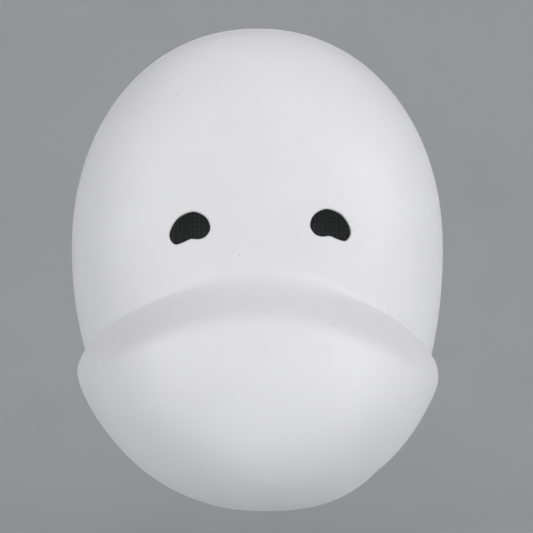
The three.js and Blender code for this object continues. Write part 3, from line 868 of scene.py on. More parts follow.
def woven_screen_tree():
    """A plain-woven screen in an oval: wires both ways, each over one and under the next, and a
    round bound edge."""
    tree, value = node_tree("woven_screen", {
        "Half Width": "Float", "Half Height": "Float", "Spacing": "Float", "Wire Radius": "Float",
        "Edge Radius": "Float", "Material": "Material"})
    place = add(tree, "ShaderNodeSeparateXYZ", {0: add(tree, "GeometryNodeInputPosition").outputs[0]}).outputs
    spacing, half = value["Spacing"], {"X": value["Half Width"], "Z": value["Half Height"]}
    added = add(tree, "ShaderNodeMath", {0: place["X"], 1: place["Z"]}, operation="ADD")
    cells = add(tree, "ShaderNodeMath", {0: added.outputs[0], 1: spacing}, operation="DIVIDE")
    phase = add(tree, "ShaderNodeMath", {0: cells.outputs[0], 1: math.pi}, operation="MULTIPLY")
    swing = add(tree, "ShaderNodeMath", {0: phase.outputs[0]}, operation="COSINE")
    height = add(tree, "ShaderNodeMath", {0: value["Wire Radius"], 1: 0.9}, operation="MULTIPLY")
    wave = add(tree, "ShaderNodeMath", {0: swing.outputs[0], 1: height.outputs[0]}, operation="MULTIPLY")
    squares = []
    for axis in ("X", "Z"):
        share = add(tree, "ShaderNodeMath", {0: place[axis], 1: half[axis]}, operation="DIVIDE")
        square = add(tree, "ShaderNodeMath", {0: share.outputs[0], 1: 2.0}, operation="POWER")
        squares.append(square.outputs[0])
    far = add(tree, "ShaderNodeMath", {0: squares[0], 1: squares[1]}, operation="ADD")
    outside = add(tree, "ShaderNodeMath", {0: far.outputs[0], 1: 1.0}, operation="GREATER_THAN")
    section = add(tree, "GeometryNodeCurvePrimitiveCircle", {"Resolution": 5, "Radius": value["Wire Radius"]})
    join = add(tree, "GeometryNodeJoinGeometry")
    for along, across, sign in (("Z", "X", 1.0), ("X", "Z", -1.0)):
        fitting = add(tree, "ShaderNodeMath", {0: half[across], 1: spacing}, operation="DIVIDE")
        wires = add(tree, "ShaderNodeMath", {0: fitting.outputs[0]}, operation="FLOOR")
        count = add(tree, "ShaderNodeMath", {0: wires.outputs[0], 1: 2.0}, operation="MULTIPLY_ADD")
        back = add(tree, "ShaderNodeMath", {0: wires.outputs[0], 1: -1.0}, operation="MULTIPLY")
        first = add(tree, "ShaderNodeMath", {0: back.outputs[0], 1: spacing}, operation="MULTIPLY")
        starts = add(tree, "GeometryNodeMeshLine", {
            "Count": count.outputs[0],
            "Start Location": add(tree, "ShaderNodeCombineXYZ", {across: first.outputs[0]}).outputs[0],
            "Offset": add(tree, "ShaderNodeCombineXYZ", {across: spacing}).outputs[0]}, mode="OFFSET")
        height = add(tree, "ShaderNodeMath", {0: half[along], 1: 2.0}, operation="MULTIPLY")
        fitting = add(tree, "ShaderNodeMath", {0: height.outputs[0], 1: spacing}, operation="DIVIDE")
        steps = add(tree, "ShaderNodeMath", {0: fitting.outputs[0]}, operation="FLOOR")
        length = add(tree, "ShaderNodeMath", {0: steps.outputs[0], 1: spacing}, operation="MULTIPLY")
        reach = add(tree, "ShaderNodeMath", {0: length.outputs[0], 1: 0.5}, operation="MULTIPLY")
        back = add(tree, "ShaderNodeMath", {0: reach.outputs[0], 1: -1.0}, operation="MULTIPLY")
        line = add(tree, "GeometryNodeCurvePrimitiveLine", {
            "Start": add(tree, "ShaderNodeCombineXYZ", {along: back.outputs[0]}).outputs[0],
            "End": add(tree, "ShaderNodeCombineXYZ", {along: reach.outputs[0]}).outputs[0]})
        doubled = add(tree, "ShaderNodeMath", {0: steps.outputs[0], 1: 2.0}, operation="MULTIPLY")
        bends = add(tree, "ShaderNodeMath", {0: doubled.outputs[0], 1: 1.0}, operation="ADD")
        wire = add(tree, "GeometryNodeResampleCurve", {"Curve": line.outputs[0], "Count": bends.outputs[0]},
                   mode="COUNT")
        laid = add(tree, "GeometryNodeInstanceOnPoints", {
            "Points": starts.outputs[0], "Instance": wire.outputs[0]})
        real = add(tree, "GeometryNodeRealizeInstances", {"Geometry": laid.outputs[0]})
        rise = add(tree, "ShaderNodeMath", {0: wave.outputs[0], 1: sign}, operation="MULTIPLY")
        lift = add(tree, "ShaderNodeCombineXYZ", {"Y": rise.outputs[0]})
        woven = add(tree, "GeometryNodeSetPosition", {"Geometry": real.outputs[0], "Offset": lift.outputs[0]})
        cut = add(tree, "GeometryNodeDeleteGeometry", {
            "Geometry": woven.outputs[0], "Selection": outside.outputs[0]}, domain="POINT")
        tube = add(tree, "GeometryNodeCurveToMesh", {
            "Curve": cut.outputs[0], "Profile Curve": section.outputs[0], "Fill Caps": True})
        tree.links.new(tube.outputs[0], join.inputs[0])
    ring = add(tree, "GeometryNodeCurvePrimitiveCircle", {"Resolution": 96, "Radius": 1.0})
    wide = add(tree, "ShaderNodeMath", {0: place["X"], 1: half["X"]}, operation="MULTIPLY")
    tall = add(tree, "ShaderNodeMath", {0: place["Y"], 1: half["Z"]}, operation="MULTIPLY")
    oval = add(tree, "ShaderNodeCombineXYZ", {"X": wide.outputs[0], "Z": tall.outputs[0]})
    bound = add(tree, "GeometryNodeSetPosition", {"Geometry": ring.outputs[0], "Position": oval.outputs[0]})
    edge = add(tree, "GeometryNodeCurvePrimitiveCircle", {"Resolution": 10, "Radius": value["Edge Radius"]})
    hem = add(tree, "GeometryNodeCurveToMesh", {"Curve": bound.outputs[0], "Profile Curve": edge.outputs[0]})
    tree.links.new(hem.outputs[0], join.inputs[0])
    close_tree(tree, join.outputs[0], value["Material"])
    return tree


def stitch_tree():
    """Lock stitches laid end to end on lines: each a short plump thread, a little uneven."""
    tree, value = node_tree("stitches", {"Spacing": "Float", "Stitch": "Float", "Thread Radius": "Float",
                                         "Seed": "Int", "Material": "Material"})
    lines = add(tree, "GeometryNodeMeshToCurve", {"Mesh": value["Geometry"]})
    points = add(tree, "GeometryNodeResampleCurve", {"Curve": lines.outputs[0], "Length": value["Spacing"]},
                 mode="LENGTH")
    tangent = add(tree, "GeometryNodeInputTangent")
    turn = add(tree, "FunctionNodeAlignRotationToVector", {"Vector": tangent.outputs[0]}, axis="X")
    uneven = add(tree, "FunctionNodeRandomValue", {"Seed": value["Seed"]}, data_type="FLOAT")
    uneven.inputs[2].default_value, uneven.inputs[3].default_value = 0.9, 1.06
    half = add(tree, "ShaderNodeMath", {0: value["Stitch"], 1: 0.5}, operation="MULTIPLY")
    size = add(tree, "ShaderNodeCombineXYZ", {"X": half.outputs[0], "Y": value["Thread Radius"],
                                              "Z": value["Thread Radius"]})
    scale = add(tree, "ShaderNodeVectorMath", {
        0: size.outputs[0], "Scale": uneven.outputs[1]}, operation="SCALE")
    thread = add(tree, "GeometryNodeMeshUVSphere", {"Segments": 6, "Rings": 5, "Radius": 1.0})
    laid = add(tree, "GeometryNodeInstanceOnPoints", {
        "Points": points.outputs[0], "Instance": thread.outputs[0], "Rotation": turn.outputs[0],
        "Scale": scale.outputs[0]})
    close_tree(tree, laid.outputs[0], value["Material"])
    return tree


# ---- the cushions --------------------------------------------------------------------------------

PAD_GAP = 0.8
PAD_SLACK = 0.8
PAD_CAP = 2.2
PAD_VOXEL = 1.5
CLOTH_FRAMES = 20


def wall_point(angle, y, inset):
    """A point at one depth on the face's wall, or a distance inside it."""
    share = (1 - (-y / (DEPTH - inset)) ** PROFILE) ** (1 / PROFILE)
    r = (rim_radius(angle) - inset) * share
    return np.stack([r * np.cos(angle), y, WIDEST_Z + r * np.sin(angle)], -1)


class Cushion:
    """A foam pad in a sewn cover on the wall's inside, between two directions and two depths."""

    def __init__(self, name, start, end, front, back, thickness, pressure):
        self.name, self.thickness, self.pressure = name, thickness, pressure
        self.start, self.end = math.radians(start), math.radians(end)
        self.middle, self.half = (front + back) / 2, (back - front) / 2
        self.slack = PAD_SLACK / float(rim_radius((self.start + self.end) / 2))

    def at(self, along, across, height):
        """A point from -1 to 1 along and across the pad, and 0 to 1 through it."""
        angle = (self.start + self.end) / 2 + (self.end - self.start) / 2 * np.asarray(along)
        y = self.middle + self.half * np.asarray(across)
        return wall_point(angle, y, WALL + PAD_GAP + self.thickness * np.asarray(height))

    def plain_form(self):
        """A rounded block, a little smaller than the sewn pad."""
        turn = 2 * math.pi * np.arange(36) / 36

        def soft(value, power):
            return np.sign(value) * np.abs(value) ** (2 / power)

        rows = []
        for u in np.linspace(-1, 1, 33):
            taper = (1 - abs(u) ** 9) ** 0.3
            across = soft(np.cos(turn), 4.5) * (0.12 + 0.78 * taper)
            height = 0.46 + soft(np.sin(turn), 4.0) * (0.12 + 0.27 * taper)
            rows.append(self.at(np.full(36, u * 0.96), across, height))
        surface = Surface()
        surface.strip(rows)
        for row in (rows[0], rows[-1]):
            surface.add([row.mean(0), *row], [(0, 1 + i, 1 + (i + 1) % 36) for i in range(36)])
        return mesh_of(surface.points, surface.faces, self.name, 180)

    def seam(self, share, height, count=160):
        """A line round the pad at a share of its size."""
        turn = 2 * math.pi * np.arange(count) / count
        c, s = np.cos(turn), np.sin(turn)
        square = 6 if share > 0.9 else 7
        r = share / (np.abs(c) ** square + np.abs(s) ** square) ** (1 / square)
        return self.at(r * c, r * s, np.full(count, height))


def evaluated_mesh(holder):
    graph = bpy.context.evaluated_depsgraph_get()
    return bpy.data.meshes.new_from_object(holder.evaluated_get(graph))


def swelled(mesh, pressure):
    """The mesh filled like a cushion: cloth under pressure, with its travel capped."""
    holder = bpy.data.objects.new("holder", mesh)
    bpy.context.collection.objects.link(holder)
    remesh = holder.modifiers.new("remesh", "REMESH")
    remesh.mode, remesh.voxel_size = "VOXEL", PAD_VOXEL * MM
    even = evaluated_mesh(holder)
    holder.modifiers.clear()
    holder.data = even
    before = np.array([v.co[:] for v in even.vertices])
    cloth = holder.modifiers.new("cloth", "CLOTH")
    cloth.settings.quality = 6
    cloth.settings.mass = 0.01
    cloth.settings.tension_stiffness = cloth.settings.compression_stiffness = 4
    cloth.settings.bending_stiffness = 0.1
    cloth.settings.use_pressure = True
    cloth.settings.uniform_pressure_force = pressure
    cloth.settings.effector_weights.gravity = 0
    cloth.point_cache.frame_end = CLOTH_FRAMES
    for k in range(1, CLOTH_FRAMES + 1):
        bpy.context.scene.frame_set(k)
    after = evaluated_mesh(holder)
    move = np.array([v.co[:] for v in after.vertices]) - before
    length = np.linalg.norm(move, axis=1)[:, None]
    move *= np.minimum(PAD_CAP * MM / np.maximum(length, 1e-9), 1)
    holder.modifiers.clear()
    even.vertices.foreach_set("co", (before + move).ravel())
    bpy.context.scene.frame_set(1)
    smooth = holder.modifiers.new("smooth", "SMOOTH")
    smooth.factor, smooth.iterations = 0.5, 4
    finer = holder.modifiers.new("finer", "SUBSURF")
    finer.levels = finer.render_levels = 1
    result = evaluated_mesh(holder)
    bpy.data.objects.remove(holder)
    result.shade_smooth()
    return result


def laid_on(loop, tree, lift):
    """A line moved onto the nearest points of a surface, and a little above them."""
    found = [tree.find_nearest(Vector(p * MM)) for p in loop]
    laid = np.array([(at + normal * lift * MM)[:] for at, normal, _, _ in found]) / MM
    for _ in range(4):
        laid = 0.5 * laid + 0.25 * (np.roll(laid, 1, 0) + np.roll(laid, -1, 0))
    return laid


def press_seam(mesh, loop, depth, width):
    """Draws a mesh in along a sewn line."""
    line = KDTree(len(loop))
    for k, p in enumerate(loop):
        line.insert(p * MM, k)
    line.balance()
    for vertex in mesh.vertices:
        near = line.find(vertex.co)[2] / MM
        if near < 3 * width:
            vertex.co -= vertex.normal * depth * MM * math.exp(-(near / width) ** 2)


def cord_round(loop, radius, sides=8):
    """A closed round cord along a line, as a fabric piping is."""
    along = np.roll(loop, -1, 0) - np.roll(loop, 1, 0)
    along /= np.linalg.norm(along, axis=1)[:, None]
    out = loop * (1, 0, 1) - np.array([0, 0, WIDEST_Z])
    out -= along * (out * along).sum(1)[:, None]
    out /= np.linalg.norm(out, axis=1)[:, None]
    other = np.cross(along, out)
    rows = [loop + radius * (math.cos(a) * out + math.sin(a) * other)
            for a in 2 * math.pi * np.arange(sides + 1) / sides]
    surface = Surface()
    surface.strip(rows)
    return mesh_of(surface.points, surface.faces, "piping", 180)


def edges_mesh(loops):
    """Closed lines as a mesh of edges."""
    points, edges = [], []
    for loop in loops:
        start, n = len(points), len(loop)
        points.extend((loop * MM).tolist())
        edges += [(start + i, start + (i + 1) % n) for i in range(n)]
    mesh = bpy.data.meshes.new("lines")
    mesh.from_pydata(points, edges, [])
    return mesh


# ---- materials ----------------------------------------------------------------------------

def start_material(name):
    material = bpy.data.materials.new(name)
    material.use_nodes = True
    tree = material.node_tree
    tree.nodes.clear()
    place = add(tree, "ShaderNodeTexCoord").outputs["Object"]
    return material, tree, place


def painted_resin():
    """Cast polyurethane resin, filled, sanded and sprayed with satin white paint. The eye sees a
    soft even sheen, faint broad waves from hand sanding, a fine spray texture and a few specks."""
    material, tree, place = start_material("painted_resin_satin_white")
    cloud = add(tree, "ShaderNodeTexNoise", {
        "Vector": place, "Scale": 22.0, "Detail": 3.0, "Roughness": 0.55})
    tone = add(tree, "ShaderNodeMix", {
        "Factor": cloud.outputs["Fac"], 6: colour("#dddcde"), 7: colour("#e7e6e7")}, data_type="RGBA")
    specks = add(tree, "ShaderNodeTexVoronoi", {"Vector": place, "Scale": 160.0})
    rare = add(tree, "ShaderNodeTexNoise", {"Vector": place, "Scale": 90.0, "Detail": 1.0})
    spot = add(tree, "ShaderNodeMapRange", {"Value": specks.outputs["Distance"], "From Min": 0.04,
                                            "From Max": 0.075, "To Min": 1.0, "To Max": 0.0})
    chosen = add(tree, "ShaderNodeMapRange", {
        "Value": rare.outputs["Fac"], "From Min": 0.6, "From Max": 0.66})
    amount = add(tree, "ShaderNodeMath", {0: spot.outputs["Result"], 1: chosen.outputs["Result"]},
                 operation="MULTIPLY")
    tinted = add(tree, "ShaderNodeMix", {"Factor": amount.outputs["Value"], 6: tone.outputs[2],
                                         7: colour("#b9b6b0")}, data_type="RGBA")
    # Paint rubbed thin along the back rim, in the last 4 mm, where hands and table touch it.
    height = add(tree, "ShaderNodeSeparateXYZ", {0: place}).outputs["Y"]
    near_rim = add(tree, "ShaderNodeMapRange", {"Value": height, "From Min": -0.004, "From Max": 0.0})
    patchy = add(tree, "ShaderNodeTexNoise", {
        "Vector": place, "Scale": 130.0, "Detail": 5.0, "Roughness": 0.65})
    rubbed = add(tree, "ShaderNodeMath", {
        0: near_rim.outputs[0], 1: patchy.outputs["Fac"]}, operation="MULTIPLY")
    bare = add(tree, "ShaderNodeMapRange", {"Value": rubbed.outputs[0], "From Min": 0.5, "From Max": 0.56})
    tinted = add(tree, "ShaderNodeMix", {
        "Factor": bare.outputs[0], 6: tinted.outputs[2], 7: colour("#d3cec1")}, data_type="RGBA")
    sheen = add(tree, "ShaderNodeTexNoise", {"Vector": place, "Scale": 60.0, "Detail": 2.0})
    rough = add(tree, "ShaderNodeMapRange", {"Value": sheen.outputs["Fac"], "From Min": 0.3, "From Max": 0.7,
                                             "To Min": 0.5, "To Max": 0.62})
    waves = add(tree, "ShaderNodeTexNoise", {"Vector": place, "Scale": 28.0, "Detail": 1.0})
    spray = add(tree, "ShaderNodeTexNoise", {"Vector": place, "Scale": 900.0, "Detail": 2.0})
    wide = add(tree, "ShaderNodeBump", {"Height": waves.outputs["Fac"], "Strength": 0.35, "Distance": 0.0012})
    fine = add(tree, "ShaderNodeBump", {"Height": spray.outputs["Fac"], "Strength": 0.25, "Distance": 0.00012,
                                        "Normal": wide.outputs["Normal"]})
    shader = add(tree, "ShaderNodeBsdfPrincipled", {
        "Base Color": tinted.outputs[2], "Roughness": rough.outputs["Result"], "IOR": 1.5,
        "Coat Weight": 0.06, "Coat Roughness": 0.4, "Normal": fine.outputs["Normal"]})
    add(tree, "ShaderNodeOutputMaterial", {"Surface": shader.outputs["BSDF"]})
    return material


def raw_resin():
    """The same resin as it left the mould, unpainted. The eye sees a warmer off-white with slow
    flow marks from the poured layers, pinhole bubbles and an uneven, slightly waxy gloss."""
    material, tree, place = start_material("cast_resin_raw_cream")
    flow = add(tree, "ShaderNodeTexNoise", {"Vector": place, "Scale": 18.0, "Detail": 4.0, "Distortion": 1.6})
    tone = add(tree, "ShaderNodeMix", {
        "Factor": flow.outputs["Fac"], 6: colour("#cfcabd"), 7: colour("#e2ded3")}, data_type="RGBA")
    # Pinholes about 0.5 mm across, one every centimetre or so.
    cells = add(tree, "ShaderNodeTexVoronoi", {"Vector": place, "Scale": 110.0})
    pick = add(tree, "ShaderNodeSeparateXYZ", {0: cells.outputs["Color"]})
    hole = add(tree, "ShaderNodeMapRange", {"Value": cells.outputs["Distance"], "From Min": 0.03,
                                            "From Max": 0.06, "To Min": 1.0, "To Max": 0.0})
    some = add(tree, "ShaderNodeMath", {0: pick.outputs["X"], 1: 0.72}, operation="GREATER_THAN")
    pinholes = add(tree, "ShaderNodeMath", {0: hole.outputs[0], 1: some.outputs[0]}, operation="MULTIPLY")
    # The pinholes are painted darker: painted shade inside the pits.
    shaded = add(tree, "ShaderNodeMix", {"Factor": pinholes.outputs[0], 6: tone.outputs[2],
                                         7: colour("#8f8a7d")}, data_type="RGBA")
    rough = add(tree, "ShaderNodeMapRange", {"Value": flow.outputs["Fac"], "From Min": 0.3, "From Max": 0.7,
                                             "To Min": 0.38, "To Max": 0.58})
    brushed = add(tree, "ShaderNodeTexNoise", {"Vector": add(tree, "ShaderNodeMapping", {
        "Vector": place, "Scale": (260.0, 260.0, 40.0)}).outputs[0], "Scale": 1.0, "Detail": 2.0})
    strokes = add(tree, "ShaderNodeBump", {
        "Height": brushed.outputs["Fac"], "Strength": 0.3, "Distance": 0.0004})
    pits = add(tree, "ShaderNodeBump", {"Height": pinholes.outputs[0], "Strength": 0.8, "Distance": -0.0004,
                                        "Normal": strokes.outputs["Normal"]})
    shader = add(tree, "ShaderNodeBsdfPrincipled", {
        "Base Color": shaded.outputs[2], "Roughness": rough.outputs["Result"], "IOR": 1.5,
        "Normal": pits.outputs["Normal"]})
    add(tree, "ShaderNodeOutputMaterial", {"Surface": shader.outputs["BSDF"]})
    return material


def moulded_nylon():
    """Black glass-filled nylon, moulded in a spark-eroded tool. The eye sees a low, even sheen
    broken by a fine grain, and greyer drifts where the glass comes near the surface."""
    material, tree, place = start_material("moulded_nylon_black")
    drift = add(tree, "ShaderNodeTexNoise", {
        "Vector": place, "Scale": 180.0, "Detail": 3.0, "Distortion": 0.6})
    tone = add(tree, "ShaderNodeMix", {
        "Factor": drift.outputs["Fac"], 6: colour("#18181a"), 7: colour("#2b2b2e")}, data_type="RGBA")
    grain = add(tree, "ShaderNodeTexNoise", {"Vector": place, "Scale": 2600.0, "Detail": 2.0})
    rough = add(tree, "ShaderNodeMapRange", {"Value": drift.outputs["Fac"], "From Min": 0.3, "From Max": 0.7,
                                             "To Min": 0.44, "To Max": 0.6})
    bump = add(tree, "ShaderNodeBump", {"Height": grain.outputs["Fac"], "Strength": 0.5, "Distance": 0.00008})
    shader = add(tree, "ShaderNodeBsdfPrincipled", {
        "Base Color": tone.outputs[2], "Roughness": rough.outputs["Result"], "IOR": 1.53,
        "Normal": bump.outputs["Normal"]})
    add(tree, "ShaderNodeOutputMaterial", {"Surface": shader.outputs["BSDF"]})
    return material


def zinc_plated_steel():
    """Zinc-plated steel, turned before plating. The eye sees a cool grey metal with faint
    turning rings, cloudy patches in its gloss and a few dull spots."""
    material, tree, place = start_material("zinc_plated_steel_turned")
    cloud = add(tree, "ShaderNodeTexNoise", {"Vector": place, "Scale": 420.0, "Detail": 4.0})
    tone = add(tree, "ShaderNodeMix", {
        "Factor": cloud.outputs["Fac"], 6: colour("#a7abb0"), 7: colour("#cdd1d4")}, data_type="RGBA")
    rough = add(tree, "ShaderNodeMapRange", {"Value": cloud.outputs["Fac"], "From Min": 0.3, "From Max": 0.7,
                                             "To Min": 0.24, "To Max": 0.42})
    marks = add(tree, "ShaderNodeTexWave", {
        "Vector": place, "Scale": 900.0, "Distortion": 3.0, "Detail": 1.0})
    bump = add(tree, "ShaderNodeBump", {
        "Height": marks.outputs["Fac"], "Strength": 0.15, "Distance": 0.00005})
    shader = add(tree, "ShaderNodeBsdfPrincipled", {
        "Base Color": tone.outputs[2], "Metallic": 1.0, "Roughness": rough.outputs["Result"],
        "Normal": bump.outputs["Normal"]})
    add(tree, "ShaderNodeOutputMaterial", {"Surface": shader.outputs["BSDF"]})
    return material


def nylon_monofilament():
    """Black nylon monofilament. The eye sees a deep black with a thin smooth shine on each wire."""
    material, tree, place = start_material("nylon_monofilament_black")
    cloud = add(tree, "ShaderNodeTexNoise", {"Vector": place, "Scale": 150.0, "Detail": 2.0})
    tone = add(tree, "ShaderNodeMix", {
        "Factor": cloud.outputs["Fac"], 6: colour("#08080a"), 7: colour("#121215")}, data_type="RGBA")
    rough = add(tree, "ShaderNodeMapRange", {"Value": cloud.outputs["Fac"], "To Min": 0.35, "To Max": 0.55})
    shader = add(tree, "ShaderNodeBsdfPrincipled", {
        "Base Color": tone.outputs[2], "Roughness": rough.outputs["Result"], "IOR": 1.53})
    add(tree, "ShaderNodeOutputMaterial", {"Surface": shader.outputs["BSDF"]})
    return material


def braided_elastic():
    """Braided polyester elastic, dyed black. The eye sees slanting yarns crossing between the
    ribs and a dry matt face; the high yarns are painted lighter and the gaps between them darker, as painted
    highlight and painted shade."""
    material, tree, _ = start_material("braided_elastic_black")
    place = add(tree, "ShaderNodeUVMap", uv_map="weave").outputs[0]
    heights = []
    for slant in (35.0, -35.0):
        turned_place = add(tree, "ShaderNodeMapping", {
            "Vector": place, "Rotation": (0, 0, math.radians(slant))})
        # One yarn every 0.8 mm: a wave texture's bands repeat every 0.314 / scale metres.
        wave = add(tree, "ShaderNodeTexWave", {"Vector": turned_place.outputs[0], "Scale": 0.314 / 0.0008,
                                               "Distortion": 1.2, "Detail": 1.0, "Detail Scale": 2.0},
                   bands_direction="X")
        heights.append(wave.outputs["Fac"])
    weave = add(tree, "ShaderNodeMath", {0: heights[0], 1: heights[1]}, operation="MULTIPLY")
    fluff = add(tree, "ShaderNodeTexNoise", {"Vector": place, "Scale": 3000.0, "Detail": 2.0})
    height = add(tree, "ShaderNodeMath", {0: fluff.outputs["Fac"], 1: 0.3, 2: weave.outputs[0]},
                 operation="MULTIPLY_ADD")
    # Colour follows the weave's relief: painted highlight on the high yarns, painted shade in the gaps
    # between them.
    tone = add(tree, "ShaderNodeMix", {
        "Factor": weave.outputs[0], 6: colour("#131315"), 7: colour("#3a3a3e")}, data_type="RGBA")
    bump = add(tree, "ShaderNodeBump", {"Height": height.outputs[0], "Strength": 0.8, "Distance": 0.0002})
    shader = add(tree, "ShaderNodeBsdfPrincipled", {
        "Base Color": tone.outputs[2], "Roughness": 0.85, "Sheen Weight": 0.3, "Sheen Roughness": 0.5,
        "Normal": bump.outputs["Normal"]})
    add(tree, "ShaderNodeOutputMaterial", {"Surface": shader.outputs["BSDF"]})
    return material


def brushed_jersey(name, dark, light):
    """Brushed polyester jersey over foam. The eye sees fine knitted stitches in rows, softened
    by a short nap that catches the light at the edges."""
    material, tree, place = start_material(name)
    warp = add(tree, "ShaderNodeTexNoise", {"Vector": place, "Scale": 60.0, "Detail": 2.0})
    nudge = add(tree, "ShaderNodeVectorMath", {0: warp.outputs["Color"], 1: (0.0006, 0.0006, 0.0006),
                                               2: place}, operation="MULTIPLY_ADD")
    # Knitted loops 0.9 mm apart, drawn a little coarser than the real cloth so that they show.
    loops = add(tree, "ShaderNodeTexVoronoi", {"Vector": nudge.outputs[0], "Scale": 1 / 0.0009,
                                               "Randomness": 0.25}, feature="SMOOTH_F1")
    nap = add(tree, "ShaderNodeTexNoise", {"Vector": place, "Scale": 2200.0, "Detail": 3.0})
    worn = add(tree, "ShaderNodeTexNoise", {"Vector": place, "Scale": 45.0, "Detail": 3.0})
    # Darker in the gaps between the knitted loops, where the bump sinks: painted shade, mixed with a broad
    # random mottle of the cloth's own tone.
    mottle = add(tree, "ShaderNodeMath", {0: loops.outputs["Distance"], 1: 0.7, 2: worn.outputs["Fac"]},
                 operation="MULTIPLY_ADD")
    shade = add(tree, "ShaderNodeMapRange", {"Value": mottle.outputs[0], "From Min": 0.4, "From Max": 1.1})
    tone = add(tree, "ShaderNodeMix", {"Factor": shade.outputs[0], 6: colour(light), 7: colour(dark)},
               data_type="RGBA")
    height = add(tree, "ShaderNodeMath", {0: nap.outputs["Fac"], 1: 0.35, 2: loops.outputs["Distance"]},
                 operation="MULTIPLY_ADD")
    bump = add(tree, "ShaderNodeBump", {"Height": height.outputs[0], "Strength": 0.75, "Distance": -0.00035})
    shader = add(tree, "ShaderNodeBsdfPrincipled", {
        "Base Color": tone.outputs[2], "Roughness": 0.92, "Sheen Weight": 0.45, "Sheen Roughness": 0.45,
        "Normal": bump.outputs["Normal"]})
    add(tree, "ShaderNodeOutputMaterial", {"Surface": shader.outputs["BSDF"]})
    return material


def spun_thread(name, dark, light):
    """Spun polyester sewing thread. The eye sees a dull twisted yarn, a shade off its cloth."""
    material, tree, place = start_material(name)
    twist = add(tree, "ShaderNodeTexWave", {"Vector": place, "Scale": 500.0, "Distortion": 2.0},
                bands_direction="DIAGONAL")
    # Colour follows the twist's relief: painted highlight on the raised plies, painted shade in the grooves.
    tone = add(tree, "ShaderNodeMix", {"Factor": twist.outputs["Fac"], 6: colour(dark), 7: colour(light)},
               data_type="RGBA")
    bump = add(tree, "ShaderNodeBump", {"Height": twist.outputs["Fac"], "Strength": 0.5, "Distance": 0.0001})
    shader = add(tree, "ShaderNodeBsdfPrincipled", {
        "Base Color": tone.outputs[2], "Roughness": 0.75, "Sheen Weight": 0.2,
        "Normal": bump.outputs["Normal"]})
    add(tree, "ShaderNodeOutputMaterial", {"Surface": shader.outputs["BSDF"]})
    return material


# ---- the pieces ---------------------------------------------------------------------------

resin = painted_resin()
nylon = moulded_nylon()
zinc = zinc_plated_steel()
monofilament = nylon_monofilament()
elastic = braided_elastic()
jersey = brushed_jersey("brushed_jersey_charcoal", "#313237", "#55565c")
piping_cloth = brushed_jersey("brushed_jersey_piping", "#1f2023", "#38393d")
cover_thread = spun_thread("spun_thread_grey", "#4c4d51", "#77787c")
strap_thread = spun_thread("spun_thread_black", "#26262a", "#4d4d52")

shell = put(shell_mesh(), "mask_shell", "shell", resin)
shell.data.materials.append(raw_resin())
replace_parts(shell, "face_shell", "beak_shell")

screen_tree = woven_screen_tree()
for side, name in ((-1, "left"), (1, "right")):
    eye = side * EYE_X
    # Wires 0.5 mm thick every 0.6 mm, close enough to hide the eyes.
    screen = grown(screen_tree, bpy.data.meshes.new("start"), {
        "Half Width": SCREEN_HALF_WIDTH * MM, "Half Height": SCREEN_HALF_HEIGHT * MM,
        "Spacing": WIRE_SPACING * MM, "Wire Radius": WIRE_RADIUS * MM,
        "Edge Radius": 0.38 * MM, "Material": monofilament})
    screen.transform(Matrix.Translation((eye * MM, (MESH_BACK - 0.45) * MM, 0)))
    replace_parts(put(screen, name + "_woven_eye_screen", "shell", None), name + "_eye_mesh")

    ring = put(retainer_mesh(side), name + "_screen_ring", "shell", nylon)
    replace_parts(ring, name + "_eye_retainer")
    for ear in (-1, 1):
        at = eye + ear * EAR_OFFSET
        seat = RETAINER_BACK + 0.3
        mesh = screw_mesh(lambda u, v, d, at=at, seat=seat: np.stack([at + u, seat + d, v], 1),
                          2.7, 1.8, 1.25, 5.9, 0.0)
        spot = "inner" if ear * side < 0 else "outer"
        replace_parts(put(mesh, name + "_screen_screw_" + spot, "shell", zinc),
                    name + "_eye_screw_" + spot)

    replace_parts(put(tab_mesh(side), name + "_tab", "strap", nylon), name + "_strap_tab")
    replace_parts(put(washer_mesh(side), name + "_washer", "shell", zinc), name + "_pivot_washer")
    mesh = screw_mesh(lambda u, v, d, side=side: np.stack([side * (78.1 - d), PIVOT_Y + u, PIVOT_Z + v], 1),
                      3.4, 2.4, 1.5, 9.9, 4.2)
    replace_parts(put(mesh, name + "_shoulder_screw", "shell", zinc), name + "_pivot_screw")

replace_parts(put(strap_mesh(), "head_strap", "strap", elastic), "elastic_strap")
stitches = stitch_tree()
seams = grown(stitches, strap_seams(), {"Spacing": 2.2 * MM, "Stitch": 2.1 * MM, "Thread Radius": 0.22 * MM,
                                        "Seed": 3, "Material": strap_thread})
put(seams, "head_strap_stitches", "strap", None)
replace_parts(put(slider_mesh(), "three_bar_slide", "slider", nylon), "strap_slider")

cushions = [Cushion("forehead_pad", 62, 118, -32, -12, 10, 8),
            Cushion("chin_pad", 258, 286, -24, -6, 8, 11),
            Cushion("right_temple_pad", -12, 14, -46, -31, 8, 22),
            Cushion("left_temple_pad", 166, 192, -46, -31, 8, 22)]
for cushion in cushions:
    mesh = swelled(cushion.plain_form(), cushion.pressure)
    surface_tree = BVHTree.FromPolygons([v.co for v in mesh.vertices], [p.vertices for p in mesh.polygons])
    piping = laid_on(cushion.seam(1.02, 0.5), surface_tree, 0.25)
    sewn = laid_on(cushion.seam(0.84, 1.0), surface_tree, 0.0)
    press_seam(mesh, sewn, 0.9, 1.1)
    surface_tree = BVHTree.FromPolygons([v.co for v in mesh.vertices], [p.vertices for p in mesh.polygons])
    pad = put(mesh, cushion.name.replace("_pad", "_cushion"), "shell", jersey)
    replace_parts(pad, cushion.name)
    put(cord_round(piping, 0.7), cushion.name + "_piping", "shell", piping_cloth)
    thread = grown(stitches, edges_mesh([laid_on(sewn, surface_tree, 0.1)]), {
        "Spacing": 2.4 * MM, "Stitch": 2.0 * MM, "Thread Radius": 0.2 * MM, "Seed": 5,
        "Material": cover_thread})
    put(thread, cushion.name + "_stitches", "shell", None)


# ---- floor, light and camera --------------------------------------------------------------

